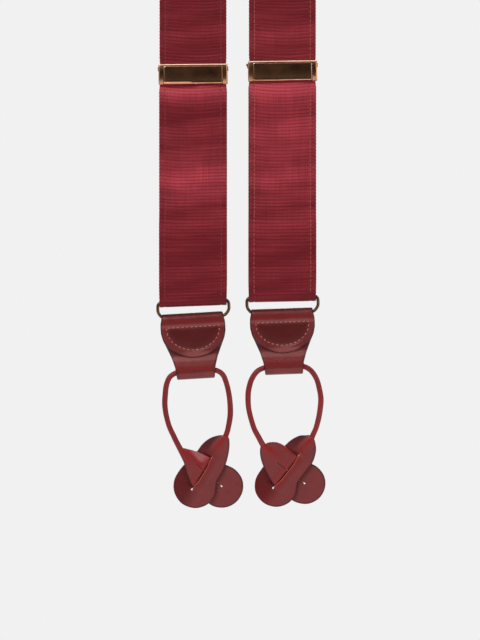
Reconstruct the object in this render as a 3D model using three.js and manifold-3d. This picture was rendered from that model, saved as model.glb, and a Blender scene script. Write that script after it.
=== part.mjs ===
// Button-on suspenders: two grosgrain straps, brass lever adjusters, an elastic back strap, and
// leather ends whose rolled runners finish in button tabs.
// Millimetres. +Z is up, +X is to the right, and the front of the suspenders faces -Y.
// They hang over a rail, and the origin is on the rail's axis, midway between the two straps.
import * as THREE from 'three';
import { mergeVertices } from 'three/addons/utils/BufferGeometryUtils.js';
import Module from 'manifold-3d';

const wasm = await Module();
wasm.setup();

// ---- Driving dimensions -------------------------------------------------------------------
const GAP = 0.3; // clearance that keeps touching pieces apart
const RIBBON = 0.7; // thickness of one grosgrain ribbon
const STRAP = 2 * RIBBON + GAP; // a strap is a face ribbon sewn over a backing ribbon
const STRAP_HALF = 19; // half of a 38 mm strap
const NECK_HALF = 18.5; // the strap is pinched to this where its adjuster sits and slides
const LANE_X = 25; // centre of each front strap from the middle
const RAIL_R = 12.5; // the rail that the straps hang over
const HANG_R = RAIL_R + GAP + STRAP / 2; // middle of the strap's thickness, round the rail

const WIRE = 0.9; // radius of the ring's wire
const BAR_DROP = 9; // from a ring's upper bar down to its lower bar
const STRAP_FOLD = WIRE + GAP + STRAP / 2; // middle of the strap, round the ring's upper bar
const SPLIT_Z = -352; // where the strap's still part ends and its adjustable loop starts

const ELASTIC = 1.6; // thickness of the elastic back strap
const ELASTIC_HALF = 17.5; // half of its 35 mm width
const ELASTIC_FOLD = WIRE + GAP + ELASTIC / 2;

const LEATHER = 1.3; // thickness of the leather ends
const PATCH = 1.4; // thickness of each leather of the back patch
const CORD_R = 1.55; // rolled leather runner
const TAB = 2; // thickness of a button tab
const THREAD = 0.3; // radius of the stitching thread

const CLIP_H = 11.3; // height of an adjuster
const CLIP_HALF = 19.3; // half its width
const SHEET = 0.5; // its side walls
const ANCHOR = { y: 6.05, z: -3, r: 0.8 }; // bar that the strap's end is sewn round, from the strap
const PIVOT = { y: -2.45, z: -2.1, r: 0.6 }; // lever's pin, from the strap's middle

const BRASS = { color: 0x8a6a3c, roughness: 0.22, metalness: 1 };
const ANTIQUE = { color: 0x4a3a26, roughness: 0.35, metalness: 1 };
const BURGUNDY = { color: 0x7d202a, roughness: 0.85, metalness: 0 };
const BACKING = { color: 0x6d1c25, roughness: 0.9, metalness: 0 };
const OXBLOOD = { color: 0x5c1a1a, roughness: 0.45, metalness: 0 };
const ROLLED = { color: 0x8c2326, roughness: 0.45, metalness: 0 };
const TAN = { color: 0xc08a78, roughness: 0.8, metalness: 0 };
const WEBBING = { color: 0x5e1820, roughness: 0.9, metalness: 0 };

// ---- Turning geometry into solids and back ------------------------------------------------
function toSolid(geometry) {
  const bare = geometry.clone();
  bare.deleteAttribute('normal');
  bare.deleteAttribute('uv');
  const merged = mergeVertices(bare, 1e-4);
  return new wasm.Manifold(new wasm.Mesh({
    numProp: 3,
    vertProperties: new Float32Array(merged.attributes.position.array),
    triVerts: new Uint32Array(merged.index.array),
  }));
}

function fromSolid(solid) {
  const { numProp, vertProperties, triVerts } = solid.getMesh();
  const positions = new Float32Array((vertProperties.length / numProp) * 3);
  for (let i = 0; i < positions.length / 3; i += 1) {
    positions.set(vertProperties.subarray(i * numProp, i * numProp + 3), i * 3);
  }
  const geometry = new THREE.BufferGeometry();
  geometry.setAttribute('position', new THREE.BufferAttribute(positions, 3));
  geometry.setIndex(new THREE.BufferAttribute(new Uint32Array(triVerts), 1));
  geometry.computeVertexNormals();
  return geometry;
}

const joined = (...solids) => solids.reduce((all, solid) => all.add(solid));

// ---- Shapes that several pieces share -----------------------------------------------------
/** A plate cut to an outline drawn in (x, z), from y0 to y1. */
function plate(outline, y0, y1, curveSegments = 8) {
  const geometry = new THREE.ExtrudeGeometry(outline, { depth: y1 - y0, bevelEnabled: false, curveSegments });
  return geometry.rotateX(Math.PI / 2).translate(0, y1, 0);
}

/** A bar of a section drawn in (y, z), from -half to +half along X. */
function bar(section, half, curveSegments = 6) {
  const geometry = new THREE.ExtrudeGeometry(section, { depth: 2 * half, bevelEnabled: false, curveSegments });
  const axes = new THREE.Matrix4().makeBasis(
    new THREE.Vector3(0, 1, 0), new THREE.Vector3(0, 0, 1), new THREE.Vector3(1, 0, 0),
  );
  return geometry.applyMatrix4(axes).translate(-half, 0, 0);
}

function block(x0, x1, y0, y1, z0, z1) {
  return new THREE.BoxGeometry(x1 - x0, y1 - y0, z1 - z0)
    .translate((x0 + x1) / 2, (y0 + y1) / 2, (z0 + z1) / 2);
}

/** A round rod along X. */
function rod(radius, half, y, z, sides = 12) {
  return new THREE.CylinderGeometry(radius, radius, 2 * half, sides).rotateZ(Math.PI / 2).translate(0, y, z);
}

/** A round cord along a curve, with flat ends. */
function cordAlong(curve, radius, steps, sides = 8) {
  const section = new THREE.Shape();
  for (let i = 0; i < sides; i += 1) {
    const angle = (2 * Math.PI * i) / sides;
    section[i ? 'lineTo' : 'moveTo'](radius * Math.cos(angle), radius * Math.sin(angle));
  }
  return new THREE.ExtrudeGeometry(section, { extrudePath: curve, steps, bevelEnabled: false });
}

/** A wire bent into a closed loop that lies in the XZ plane. */
function wireLoop(path, radius, divisions, sides = 8) {
  const points = path.getPoints(divisions);
  if (points[0].distanceTo(points.at(-1)) < 1e-6) points.pop();
  const positions = [];
  const index = [];
  points.forEach((point, i) => {
    const before = points.at(i - 1);
    const after = points[(i + 1) % points.length];
    const along = after.clone().sub(before).normalize();
    for (let k = 0; k < sides; k += 1) {
      const angle = (2 * Math.PI * k) / sides;
      const across = radius * Math.cos(angle);
      positions.push(point.x + along.y * across, radius * Math.sin(angle), point.y - along.x * across);
      const here = i * sides;
      const there = ((i + 1) % points.length) * sides;
      const next = (k + 1) % sides;
      index.push(here + k, here + next, there + next, here + k, there + next, there + k);
    }
  });
  const geometry = new THREE.BufferGeometry();
  geometry.setAttribute('position', new THREE.Float32BufferAttribute(positions, 3));
  geometry.setIndex(index);
  return geometry;
}

/**
 * A flat strip carried along rows. Each row has the middle of the strip, the way its face points,
 * and the vector from its middle to its edge. The strip's thickness runs from `inner` to `outer`
 * along the face direction.
 */
function strip(rows, inner, outer) {
  const positions = [];
  const index = [];
  rows.forEach(({ at, out, across }, i) => {
    [[inner, -1], [inner, 1], [outer, 1], [outer, -1]].forEach(([depth, side]) => {
      const corner = at.clone().addScaledVector(out, depth).addScaledVector(across, side);
      positions.push(corner.x, corner.y, corner.z);
    });
    if (i === 0) return;
    for (let k = 0; k < 4; k += 1) {
      const a = (i - 1) * 4 + k;
      const b = (i - 1) * 4 + ((k + 1) % 4);
      index.push(a, b, b + 4, a, b + 4, a + 4);
    }
  });
  const last = (rows.length - 1) * 4;
  index.push(0, 2, 1, 0, 3, 2, last, last + 1, last + 2, last, last + 2, last + 3);
  const geometry = new THREE.BufferGeometry();
  geometry.setAttribute('position', new THREE.Float32BufferAttribute(positions, 3));
  geometry.setIndex(index);
  return toSolid(geometry).volume() > 0 ? geometry : flipped(geometry);
}

function flipped(geometry) {
  const index = Array.from(geometry.index.array);
  for (let i = 0; i < index.length; i += 3) [index[i], index[i + 1]] = [index[i + 1], index[i]];
  geometry.setIndex(index);
  return geometry;
}

/** A row of a strip that lies across X. `slant` is how far its edge rises for each mm of x. */
const row = (y, z, outY, outZ, half, slant = 0) => ({
  at: new THREE.Vector3(0, y, z),
  out: new THREE.Vector3(0, outY, outZ),
  across: new THREE.Vector3(half, 0, half * slant),
});

/** Rows round an arc about (y, z): its angles are measured from +Y towards +Z. */
function arcRows(y, z, radius, from, to, steps, half, slant = 0) {
  return Array.from({ length: steps + 1 }, (_, i) => {
    const angle = from + ((to - from) * i) / steps;
    const [c, s] = [Math.cos(angle), Math.sin(angle)];
    return row(y + radius * c, z + radius * s, c, s, half, slant);
  });
}

/** A closed smooth outline through a few points of (x, z). */
function smoothOutline(points) {
  const curve = new THREE.CatmullRomCurve3(points.map(([x, z]) => new THREE.Vector3(x, z, 0)), true);
  const outline = curve.getPoints(points.length * 4).slice(0, -1);
  return new THREE.Shape(outline.map((p) => new THREE.Vector2(p.x, p.y)));
}

/** A value read off straight lines between [place, value] pairs. */
function between(pairs, place) {
  const next = pairs.findIndex(([at]) => at <= place);
  if (next <= 0) return pairs.at(next)[1];
  const [[a, valueA], [b, valueB]] = [pairs[next - 1], pairs[next]];
  return valueA + ((valueB - valueA) * (place - a)) / (b - a);
}

const suspenders = new THREE.Group();
suspenders.name = 'suspenders';

function piece(parent, name, geometry, look) {
  const mesh = new THREE.Mesh(geometry, new THREE.MeshStandardMaterial(look));
  mesh.name = name;
  parent.add(mesh);
}

function placed(x, y, z, tilt = 0, turn = 0) {
  const group = new THREE.Group();
  group.position.set(x, y, z);
  group.rotation.set(0, -tilt, turn, 'ZYX');
  suspenders.add(group);
  return group;
}

// ---- Straps: back patch, over the rail, down the front ------------------------------------
const PATCH_TOP = -50;
const STRAP_END = -92; // where the straps stop inside the patch
const LEAN = Math.tan(THREE.MathUtils.degToRad(8)); // how fast the straps close in at the back
const LEAN_FROM = -50; // distance along the strap, from the rail's level at the back
const LEAN_TO = Math.PI * HANG_R; // the strap is upright again where it leaves the rail in front

/** Centre x of the right strap, and its slope, at a distance along it. */
function lane(along) {
  const span = LEAN_TO - LEAN_FROM;
  const left = THREE.MathUtils.clamp(LEAN_TO - along, 0, span);
  const slope = (LEAN * left) / span;
  const x = LANE_X - (LEAN * left * left) / (2 * span) - LEAN * Math.max(0, LEAN_FROM - along);
  return { x, slope };
}

/** Rows of a still strap. `side` is +1 on the right and -1 on the left. */
function strapRows(side) {
  const backSteps = [STRAP_END, -80, -65, -50, -38, -26, -13];
  const overSteps = Array.from({ length: 17 }, (_, i) => (LEAN_TO * i) / 16);
  const slideSteps = [-264, -274, SPLIT_Z].map((z) => LEAN_TO - z);
  return [...backSteps, ...overSteps, ...slideSteps].map((along) => {
    const angle = THREE.MathUtils.clamp(along / HANG_R, 0, Math.PI);
    const { x, slope } = lane(along);
    const out = new THREE.Vector3(0, Math.cos(angle), Math.sin(angle));
    const onward = new THREE.Vector3(0, -out.z, out.y);
    const at = out.clone().multiplyScalar(HANG_R).setX(side * x);
    at.z += Math.min(along, 0) - Math.max(along - LEAN_TO, 0);
    const lean = Math.atan(slope);
    const across = new THREE.Vector3(Math.cos(lean), 0, 0).addScaledVector(onward, -side * Math.sin(lean));
    const half = along > LEAN_TO && at.z < -270 ? NECK_HALF : STRAP_HALF;
    return { at, out, across: across.multiplyScalar(half) };
  });
}

const faceFrom = STRAP / 2 - RIBBON;
for (const [name, side] of [['left', -1], ['right', 1]]) {
  const rows = strapRows(side);
  const middle = side * (GAP / 2);
  const [from, to] = side > 0 ? [-60, middle] : [middle, 60];
  const otherHalf = toSolid(block(from, to, -30, 30, -99, 0));
  const face = toSolid(strip(rows, faceFrom, STRAP / 2)).subtract(otherHalf);
  const backing = toSolid(strip(rows, -STRAP / 2, -faceFrom)).subtract(otherHalf);
  piece(suspenders, `${name}_face_ribbon`, fromSolid(face), BURGUNDY);
  piece(suspenders, `${name}_backing_ribbon`, fromSolid(backing), BACKING);
}

// ---- Back patch ---------------------------------------------------------------------------
/** The patch's outline, drawn in (x, z) and scaled about its middle. */
function patchOutline(scale = 1) {
  const middleZ = -86;
  const p = (x, z) => [x * scale, middleZ + (z - middleZ) * scale];
  const outline = new THREE.Shape();
  outline.moveTo(...p(-36, PATCH_TOP));
  outline.lineTo(...p(36, PATCH_TOP));
  outline.quadraticCurveTo(...p(40, PATCH_TOP), ...p(39.6, -54));
  outline.bezierCurveTo(...p(38.5, -66), ...p(37.5, -84), ...p(34.5, -94));
  outline.bezierCurveTo(...p(31, -104), ...p(21, -106), ...p(20.5, -118));
  outline.quadraticCurveTo(...p(20.3, -122), ...p(16.5, -122));
  outline.lineTo(...p(-16.5, -122));
  outline.quadraticCurveTo(...p(-20.3, -122), ...p(-20.5, -118));
  outline.bezierCurveTo(...p(-21, -106), ...p(-31, -104), ...p(-34.5, -94));
  outline.bezierCurveTo(...p(-37.5, -84), ...p(-38.5, -66), ...p(-39.6, -54));
  outline.quadraticCurveTo(...p(-40, PATCH_TOP), ...p(-36, PATCH_TOP));
  return outline;
}

const patchFace = HANG_R + STRAP / 2 + GAP;
const patchBack = HANG_R - STRAP / 2 - GAP;
piece(suspenders, 'back_patch_outer', plate(patchOutline(), patchFace, patchFace + PATCH, 6), OXBLOOD);
piece(suspenders, 'back_patch_inner', plate(patchOutline(), patchBack - PATCH, patchBack, 6), OXBLOOD);

/** A thread laid along an outline of (x, z) points, its two ends just short of meeting. */
function threadAlong(points, y, steps) {
  const curve = new THREE.CatmullRomCurve3(points.map(([x, z]) => new THREE.Vector3(x, y, z)));
  return cordAlong(curve, THREAD, steps, 6);
}
const patchThread = patchOutline(0.92).getSpacedPoints(56).slice(0, -1).map((p) => [p.x, p.y]);
piece(suspenders, 'back_patch_stitching',
  threadAlong(patchThread, patchFace + PATCH + GAP + THREAD, 84), TAN);

// ---- Adjustable loop: down through the adjuster, round the ring, up to the anchor bar ------
const RING_Y = -HANG_R + STRAP_FOLD; // the ring hangs just behind the strap's front run
const TAIL_Y = RING_Y + STRAP_FOLD;
const FOLD_HALF = 18.2; // the strap's corners draw in where it turns round the ring
const RETURN_LENGTH = 13; // the end of the strap, turned over the anchor bar and sewn down

/** Rows of a loop, about the strap's centre. `side` gives the ring's and the adjuster's places. */
function loopRows({ ringZ, clipZ, foldSlant, clipSlant }) {
  const neckTop = clipZ + 3;
  const neckFoot = clipZ - CLIP_H - 3;
  const anchorZ = clipZ + ANCHOR.z;
  const anchorY = -HANG_R + ANCHOR.y;
  const wrap = ANCHOR.r + GAP + STRAP / 2;
  const front = [[SPLIT_Z - GAP, NECK_HALF], [neckTop, STRAP_HALF], [clipZ, NECK_HALF],
    [clipZ - CLIP_H, NECK_HALF], [neckFoot, STRAP_HALF], [ringZ + 40, STRAP_HALF]];
  const tail = [[ringZ + 40, STRAP_HALF], [neckFoot, STRAP_HALF], [clipZ - CLIP_H, NECK_HALF]];
  return [
    ...front.map(([z, half]) => row(-HANG_R, z, -1, 0, half)),
    row(-HANG_R, ringZ + 8, -1, 0, STRAP_HALF, foldSlant * 0.8),
    ...arcRows(RING_Y, ringZ, STRAP_FOLD, -Math.PI, 0, 10, FOLD_HALF, foldSlant),
    row(TAIL_Y, ringZ + 8, 1, 0, STRAP_HALF, foldSlant * 0.8),
    ...tail.map(([z, half]) => row(TAIL_Y, z, 1, 0, half)),
  ].concat(arcRows(anchorY, anchorZ, wrap, Math.PI, 0, 10, NECK_HALF, clipSlant)
    .map((r) => ({ ...r, out: r.out.clone().negate() })), [
    row(anchorY + wrap, anchorZ - RETURN_LENGTH, -1, 0, NECK_HALF),
  ]);
}

// ---- Adjuster: frame, lever and pin, about the strap's middle at the frame's top edge ------
function adjusterFrame() {
  const frontFace = -3.65;
  const backFace = STRAP / 2 + GAP + 0.8;
  const cheek = new THREE.Shape();
  cheek.moveTo(frontFace, 0);
  cheek.lineTo(frontFace, -CLIP_H);
  cheek.lineTo(backFace, -CLIP_H);
  cheek.lineTo(backFace, -6.5);
  cheek.lineTo(ANCHOR.y + 1, ANCHOR.z - 1.2);
  cheek.lineTo(ANCHOR.y + 1, ANCHOR.z + 1);
  cheek.lineTo(backFace, 0);
  const cheeks = toSolid(bar(cheek, CLIP_HALF))
    .subtract(toSolid(block(-CLIP_HALF + SHEET, CLIP_HALF - SHEET, -9, 9, -CLIP_H - 1, 1)));
  const flangeIn = CLIP_HALF - 2.4;
  return fromSolid(joined(
    cheeks,
    toSolid(block(-CLIP_HALF, CLIP_HALF, backFace - 0.8, backFace, -CLIP_H, 0)),
    toSolid(block(-CLIP_HALF, CLIP_HALF, frontFace, -STRAP / 2 - GAP, -0.6, 0)),
    toSolid(block(flangeIn, CLIP_HALF, frontFace, frontFace + 0.7, -CLIP_H, 0)),
    toSolid(block(-CLIP_HALF, -flangeIn, frontFace, frontFace + 0.7, -CLIP_H, 0)),
    toSolid(rod(ANCHOR.r, CLIP_HALF, ANCHOR.y, ANCHOR.z)),
  ).subtract(toSolid(rod(PIVOT.r + GAP, CLIP_HALF + 1, PIVOT.y, PIVOT.z))));
}

function adjusterLever() {
  const knuckle = 1.25;
  const front = PIVOT.y - 1.1;
  const back = PIVOT.y - 0.4;
  const angleOf = (y) => 2 * Math.PI - Math.acos((y - PIVOT.y) / knuckle);
  const lever = new THREE.Shape();
  lever.absarc(PIVOT.y, PIVOT.z, knuckle, angleOf(back), angleOf(front) + 2 * Math.PI, false);
  lever.lineTo(front, -CLIP_H + 1.4);
  lever.lineTo(front - 0.9, -CLIP_H + 0.1);
  lever.lineTo(front - 0.3, -CLIP_H - 0.3);
  lever.lineTo(back, -CLIP_H + 1);
  const bore = new THREE.Path();
  bore.absarc(PIVOT.y, PIVOT.z, PIVOT.r + 0.15, 0, 2 * Math.PI, true);
  lever.holes.push(bore);
  return bar(lever, 16.5, 10);
}

// ---- Ring: a bent wire loop, upper bar at the origin ---------------------------------------
function ring() {
  const path = new THREE.Path();
  const foot = -BAR_DROP;
  path.moveTo(-18.4, 0);
  path.lineTo(18.4, 0);
  path.quadraticCurveTo(19.9, 0, 19.9, -1.8);
  path.lineTo(19.9, -4.6);
  path.quadraticCurveTo(19.8, -6, 19, -7);
  path.quadraticCurveTo(17.8, foot, 16.6, foot);
  path.lineTo(-16.6, foot);
  path.quadraticCurveTo(-17.8, foot, -19, -7);
  path.quadraticCurveTo(-19.8, -6, -19.9, -4.6);
  path.lineTo(-19.9, -1.8);
  path.quadraticCurveTo(-19.9, 0, -18.4, 0);
  return wireLoop(path, WIRE, 5);
}

// ---- Leather end: one strap of leather folded over the ring and round the runner ------------
const TUNNEL_Z = -39.6; // centre of the runner's tunnel, from the ring's upper bar
const FLAP_FOOT = -31.4; // lowest point of the D-shaped front flap
const FLAP_R = 20.56; // radius of its lower edge
const leatherHalf = (z) => between([[-7, 16.4], [-9.5, 16.6], [-11.5, 17.5], [-14, 18.1], [-21, 17.2],
  [-26, 15.2], [-31.3, 13], [-36.4, 11.5], [-39.6, 11.2], [-43, 10.6]], z);
const flapHalf = (z) => {
  const round = Math.sqrt(Math.max(1, FLAP_R ** 2 - (z - FLAP_FOOT - FLAP_R) ** 2));
  return Math.min(leatherHalf(z), round);
};

function endLeather() {
  const fold = WIRE + GAP + LEATHER / 2;
  const wrap = CORD_R + GAP + LEATHER / 2;
  const down = [-11.5, -14, -17.5, -21, -23.5, -26, -28, -31.3];
  const flap = [-30.6, -29.6, -28, -26, -24.5, -23, -21, -17.5, -14, -11.5];
  const overBar = arcRows(0, -BAR_DROP, fold, Math.PI, 0, 10, leatherHalf(-7));
  const underCord = arcRows(0, TUNNEL_Z, wrap, 0, -Math.PI, 12, leatherHalf(TUNNEL_Z));
  underCord.forEach((r) => r.across.setX(leatherHalf(r.at.z)));
  const turned = Math.hypot(2.5, 5);
  return strip([
    row(-fold, FLAP_FOOT, -1, 0, flapHalf(FLAP_FOOT)),
    ...flap.map((z) => row(-fold, z, -1, 0, flapHalf(z))),
    ...overBar,
    ...down.map((z) => row(fold, z, 1, 0, leatherHalf(z))),
    row((fold + wrap) / 2, -34, 1, 0, leatherHalf(-34)),
    row(wrap, -37, 1, 0, leatherHalf(-37)),
    ...underCord,
    row(-wrap, -38.4, -1, 0, leatherHalf(-38.4)),
    row(-wrap / 2, -35.6, -5 / turned, 2.5 / turned, 11),
    row(0, -33, -1, 0, 10),
    row(0, -18, -1, 0, 9),
  ], -LEATHER / 2, LEATHER / 2);
}

/** A row across the top and a half ellipse below it, as sewn on the flap. */
function endStitching() {
  const [halfRow, top, drop] = [14.8, -14.3, 12.1];
  const points = [[-halfRow + 1.6, top], [-5, top], [5, top], [halfRow - 1.2, top]];
  for (let i = 1; i < 14; i += 1) {
    const angle = (Math.PI * i) / 14;
    points.push([halfRow * Math.cos(angle), top - drop * Math.sin(angle)]);
  }
  points.push([-halfRow + 0.2, top - 1]);
  return threadAlong(points, -WIRE - 2 * GAP - LEATHER - THREAD, 44);
}

// ---- Button tabs: one tab threaded through a slit in the other -----------------------------
const LAYER = TAB / 2 + GAP; // a threaded tab's front and rear parts lie this far from the middle
const EYE_R = 0.75; // round end of a buttonhole
const SLIT_GAP = 0.5; // a closed buttonhole's width

/** A thick wall along the slit's line, from n0 to n1 across it and y0 to y1 deep. */
function slitWall([[x0, z0], [x1, z1]], n0, n1, y0, y1, halfLength) {
  const angle = Math.atan2(z0 - z1, x0 - x1);
  return toSolid(block(-halfLength, halfLength, y0, y1, -n1, -n0)
    .rotateY(-angle).translate((x0 + x1) / 2, 0, (z0 + z1) / 2));
}

/** A buttonhole: a round eye in the middle of the disc, with a slit from it towards the cord. */
function buttonhole([end, eye]) {
  const round = new THREE.CylinderGeometry(EYE_R, EYE_R, 12, 10).translate(eye[0], 0, eye[1]);
  const length = Math.hypot(end[0] - eye[0], end[1] - eye[1]);
  return joined(toSolid(round), slitWall([end, eye], -SLIT_GAP / 2, SLIT_GAP / 2, -6, 6, length / 2));
}

/** The tab whose buttonhole is held open by the other tab passing through it. */
function slottedTab({ slotted, slit }) {
  const length = Math.hypot(slit[0][0] - slit[1][0], slit[0][1] - slit[1][1]);
  const opened = slitWall(slit, -TAB / 2 - GAP, TAB / 2 + GAP, -5, 5, length / 2);
  return fromSolid(toSolid(plate(smoothOutline(slotted), -TAB / 2, TAB / 2)).subtract(opened));
}

/** The tab that lies in front, goes back through the slit, and carries on behind. */
function threadedTab({ threaded, slit, hole }) {
  const deep = LAYER + TAB;
  const room = joined(
    slitWall(slit, -99, TAB / 2, -deep, -LAYER, 99),
    slitWall(slit, -TAB / 2, TAB / 2, -deep, deep, 99),
    slitWall(slit, -TAB / 2, 99, LAYER, deep, 99),
  );
  const whole = toSolid(plate(smoothOutline(threaded), -deep, deep));
  return fromSolid(whole.intersect(room).subtract(buttonhole(hole)));
}

// ---- What differs between the ends: places, slants, the runner's route and the tabs' outlines
// Each route goes from the threaded tab up through the tunnel and down to the slotted tab, as
// (x, y, z) from the middle of the ring's upper bar.
const IN_FRONT = -LAYER - TAB / 2;
const LEFT_TABS = {
  slit: [[10.6, -87.2], [-0.7, -105.5]],
  slotted: [[19.9, -76.3], [20.4, -81.5], [19.4, -87.7], [17.2, -94.4], [13.4, -101.5], [12.3, -108.7],
    [8.2, -113.8], [1.2, -116], [-6.2, -113.5], [-10.4, -107.4], [-10.6, -100.5], [-7.2, -94.2], [-2.2, -88.7],
    [2.3, -83.9], [5.3, -80], [9.2, -76.9], [13.3, -75.4], [16.6, -75.1]],
  threaded: [[-5.9, -82.3], [-3.1, -82.7], [2.3, -84.2], [8.8, -87.2], [16.5, -90.9], [23.3, -94.2],
    [27.5, -99.8], [27.8, -106.6], [24.3, -112.6], [18.2, -115.7], [11.3, -115], [5.6, -110.8], [1.9, -106.6],
    [-0.8, -102.8], [-3.5, -96.7], [-5.1, -90.6], [-7.6, -84.6]],
  hole: [[1.9, -91.1], [16, -103.8]],
};
const LEFT_ROUTE = [[-8.1, IN_FRONT, -81], [-10.8, -1.9, -75.6], [-13.4, -1.2, -69.9], [-15.1, -0.5, -63.5],
  [-15.8, 0, -57.9], [-15.6, 0, -52.8], [-14.9, 0, -47.1], [-13, 0, -42.6], [-9.6, 0, -40.3], [-7, 0, -40.05],
  [2.35, 0, -39.5], [11, 0, -38.99], [13.6, 0, -38.95], [16.8, 0, -41.4], [18.9, 0, -46.7], [20.2, 0, -52.8],
  [20.8, 0, -58.5], [20.8, 0, -64.2], [19.9, 0, -69.9], [18.8, 0, -74.2]];
const RIGHT_TABS = {
  slit: [[9.8, -88], [-5.2, -107.2]],
  slotted: [[17.6, -78.9], [18.9, -84.3], [18.5, -88.6], [16.6, -93.6], [12, -99.8], [8.6, -104.6], [7.4, -110.8],
    [3.2, -115.8], [-3.5, -117.8], [-10.4, -115.6], [-14.9, -109.8], [-15.1, -102.8], [-12, -97], [-7.5, -91.5],
    [-2.8, -87], [1.6, -83.2], [5, -80.2], [9.4, -77.9], [13, -77.6], [15.8, -77.6]],
  threaded: [[-9.5, -82.3], [-6.6, -81.4], [-2.6, -81.6], [1.3, -83.5], [5.6, -87], [11.5, -91.3], [19.4, -95.3],
    [23.6, -100.9], [23.9, -107.4], [20.6, -113.1], [14.4, -116.2], [7.4, -115.2], [1.2, -111], [-3.2, -107],
    [-6.2, -103.2], [-9, -98.6], [-11.4, -93], [-12.5, -88], [-12.1, -83.8]],
  hole: [[-2.7, -93], [12.5, -104.7]],
};
const RIGHT_ROUTE = [[-11.7, IN_FRONT, -81.6], [-13.3, -2.1, -78.6], [-15.7, -1.5, -74.1], [-17.7, -0.7, -67.8],
  [-18.9, 0, -62.1], [-19.2, 0, -56.4], [-18.8, 0, -51.9], [-17.2, 0, -46.4], [-14.2, 0, -42], [-10.5, 0, -40],
  [-8, 0, -39.9], [1.38, 0, -39.58], [10.2, 0, -39.27], [12.7, 0, -39.3], [16.2, 0, -41.6], [19.2, 0, -46.2],
  [20.8, 0, -51.9], [21.6, 0, -57], [21.3, 0, -62.1], [20.4, 0, -67.8], [18.9, 0, -73.5], [17.4, 0, -77]];

const slope = (degrees) => Math.tan(THREE.MathUtils.degToRad(degrees));
const angle = (degrees) => THREE.MathUtils.degToRad(degrees);
const ENDS = {
  left: { x: -LANE_X, y: RING_Y, ringZ: -518.4, ringTilt: 2.8, endTilt: 3.4, foldTilt: 2.2, turn: 0,
    tabs: LEFT_TABS, route: LEFT_ROUTE },
  right: { x: LANE_X, y: RING_Y, ringZ: -515.9, ringTilt: 1.6, endTilt: 2, foldTilt: 1.2, turn: 0,
    tabs: RIGHT_TABS, route: RIGHT_ROUTE },
  back: { x: 0, y: HANG_R - ELASTIC_FOLD, ringZ: -222, ringTilt: 2.8, endTilt: 3.4, foldTilt: 2.2,
    turn: Math.PI, tabs: LEFT_TABS, route: LEFT_ROUTE },
};
const CLIPS = { left: { clipZ: -385.9, tilt: 0.6 }, right: { clipZ: -384.1, tilt: 0.8 } };

for (const [name, end] of Object.entries(ENDS)) {
  piece(placed(end.x, end.y, end.ringZ, angle(end.ringTilt), end.turn), `${name}_ring`, ring(), ANTIQUE);
  const leather = placed(end.x, end.y, end.ringZ, angle(end.endTilt), end.turn);
  piece(leather, `${name}_end_leather`, endLeather(), OXBLOOD);
  piece(leather, `${name}_end_stitching`, endStitching(), TAN);
  const runner = placed(end.x, end.y, end.ringZ, 0, end.turn);
  const route = new THREE.CatmullRomCurve3(end.route.map((p) => new THREE.Vector3(...p)));
  piece(runner, `${name}_runner_cord`, cordAlong(route, CORD_R, 44), ROLLED);
  piece(runner, `${name}_slotted_tab`, slottedTab(end.tabs), OXBLOOD);
  piece(runner, `${name}_threaded_tab`, threadedTab(end.tabs), OXBLOOD);
}

for (const [name, clip] of Object.entries(CLIPS)) {
  const end = ENDS[name];
  const slants = { foldSlant: slope(end.foldTilt), clipSlant: slope(clip.tilt) };
  const loop = loopRows({ ringZ: end.ringZ, clipZ: clip.clipZ, ...slants });
  const hung = placed(end.x, 0, 0);
  piece(hung, `${name}_face_ribbon_loop`, strip(loop, faceFrom, STRAP / 2), BURGUNDY);
  piece(hung, `${name}_backing_ribbon_loop`, strip(loop, -STRAP / 2, -faceFrom), BACKING);
  const adjuster = placed(end.x, -HANG_R, clip.clipZ, angle(clip.tilt));
  piece(adjuster, `${name}_adjuster_frame`, adjusterFrame(), BRASS);
  piece(adjuster, `${name}_adjuster_lever`, adjusterLever(), BRASS);
  piece(adjuster, `${name}_adjuster_pin`, rod(PIVOT.r, CLIP_HALF + 0.6, PIVOT.y, PIVOT.z, 10), BRASS);
}

// ---- Elastic back strap: sewn into the patch, turned up round the rear ring -----------------
const ELASTIC_TOP = STRAP_END - 1;
const ELASTIC_TAIL = 27;
const back = ENDS.back;
const backSlant = -slope(back.foldTilt);
piece(suspenders, 'back_elastic', strip([
  row(HANG_R, ELASTIC_TOP, 1, 0, ELASTIC_HALF),
  row(HANG_R, back.ringZ + 45, 1, 0, ELASTIC_HALF),
  row(HANG_R, back.ringZ + 8, 1, 0, ELASTIC_HALF, backSlant * 0.8),
  ...arcRows(back.y, back.ringZ, ELASTIC_FOLD, 0, -Math.PI, 10, ELASTIC_HALF, backSlant),
  row(back.y - ELASTIC_FOLD, back.ringZ + ELASTIC_TAIL, -1, 0, ELASTIC_HALF, backSlant * 0.3),
], -ELASTIC / 2, ELASTIC / 2), WEBBING);

export default suspenders;
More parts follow.
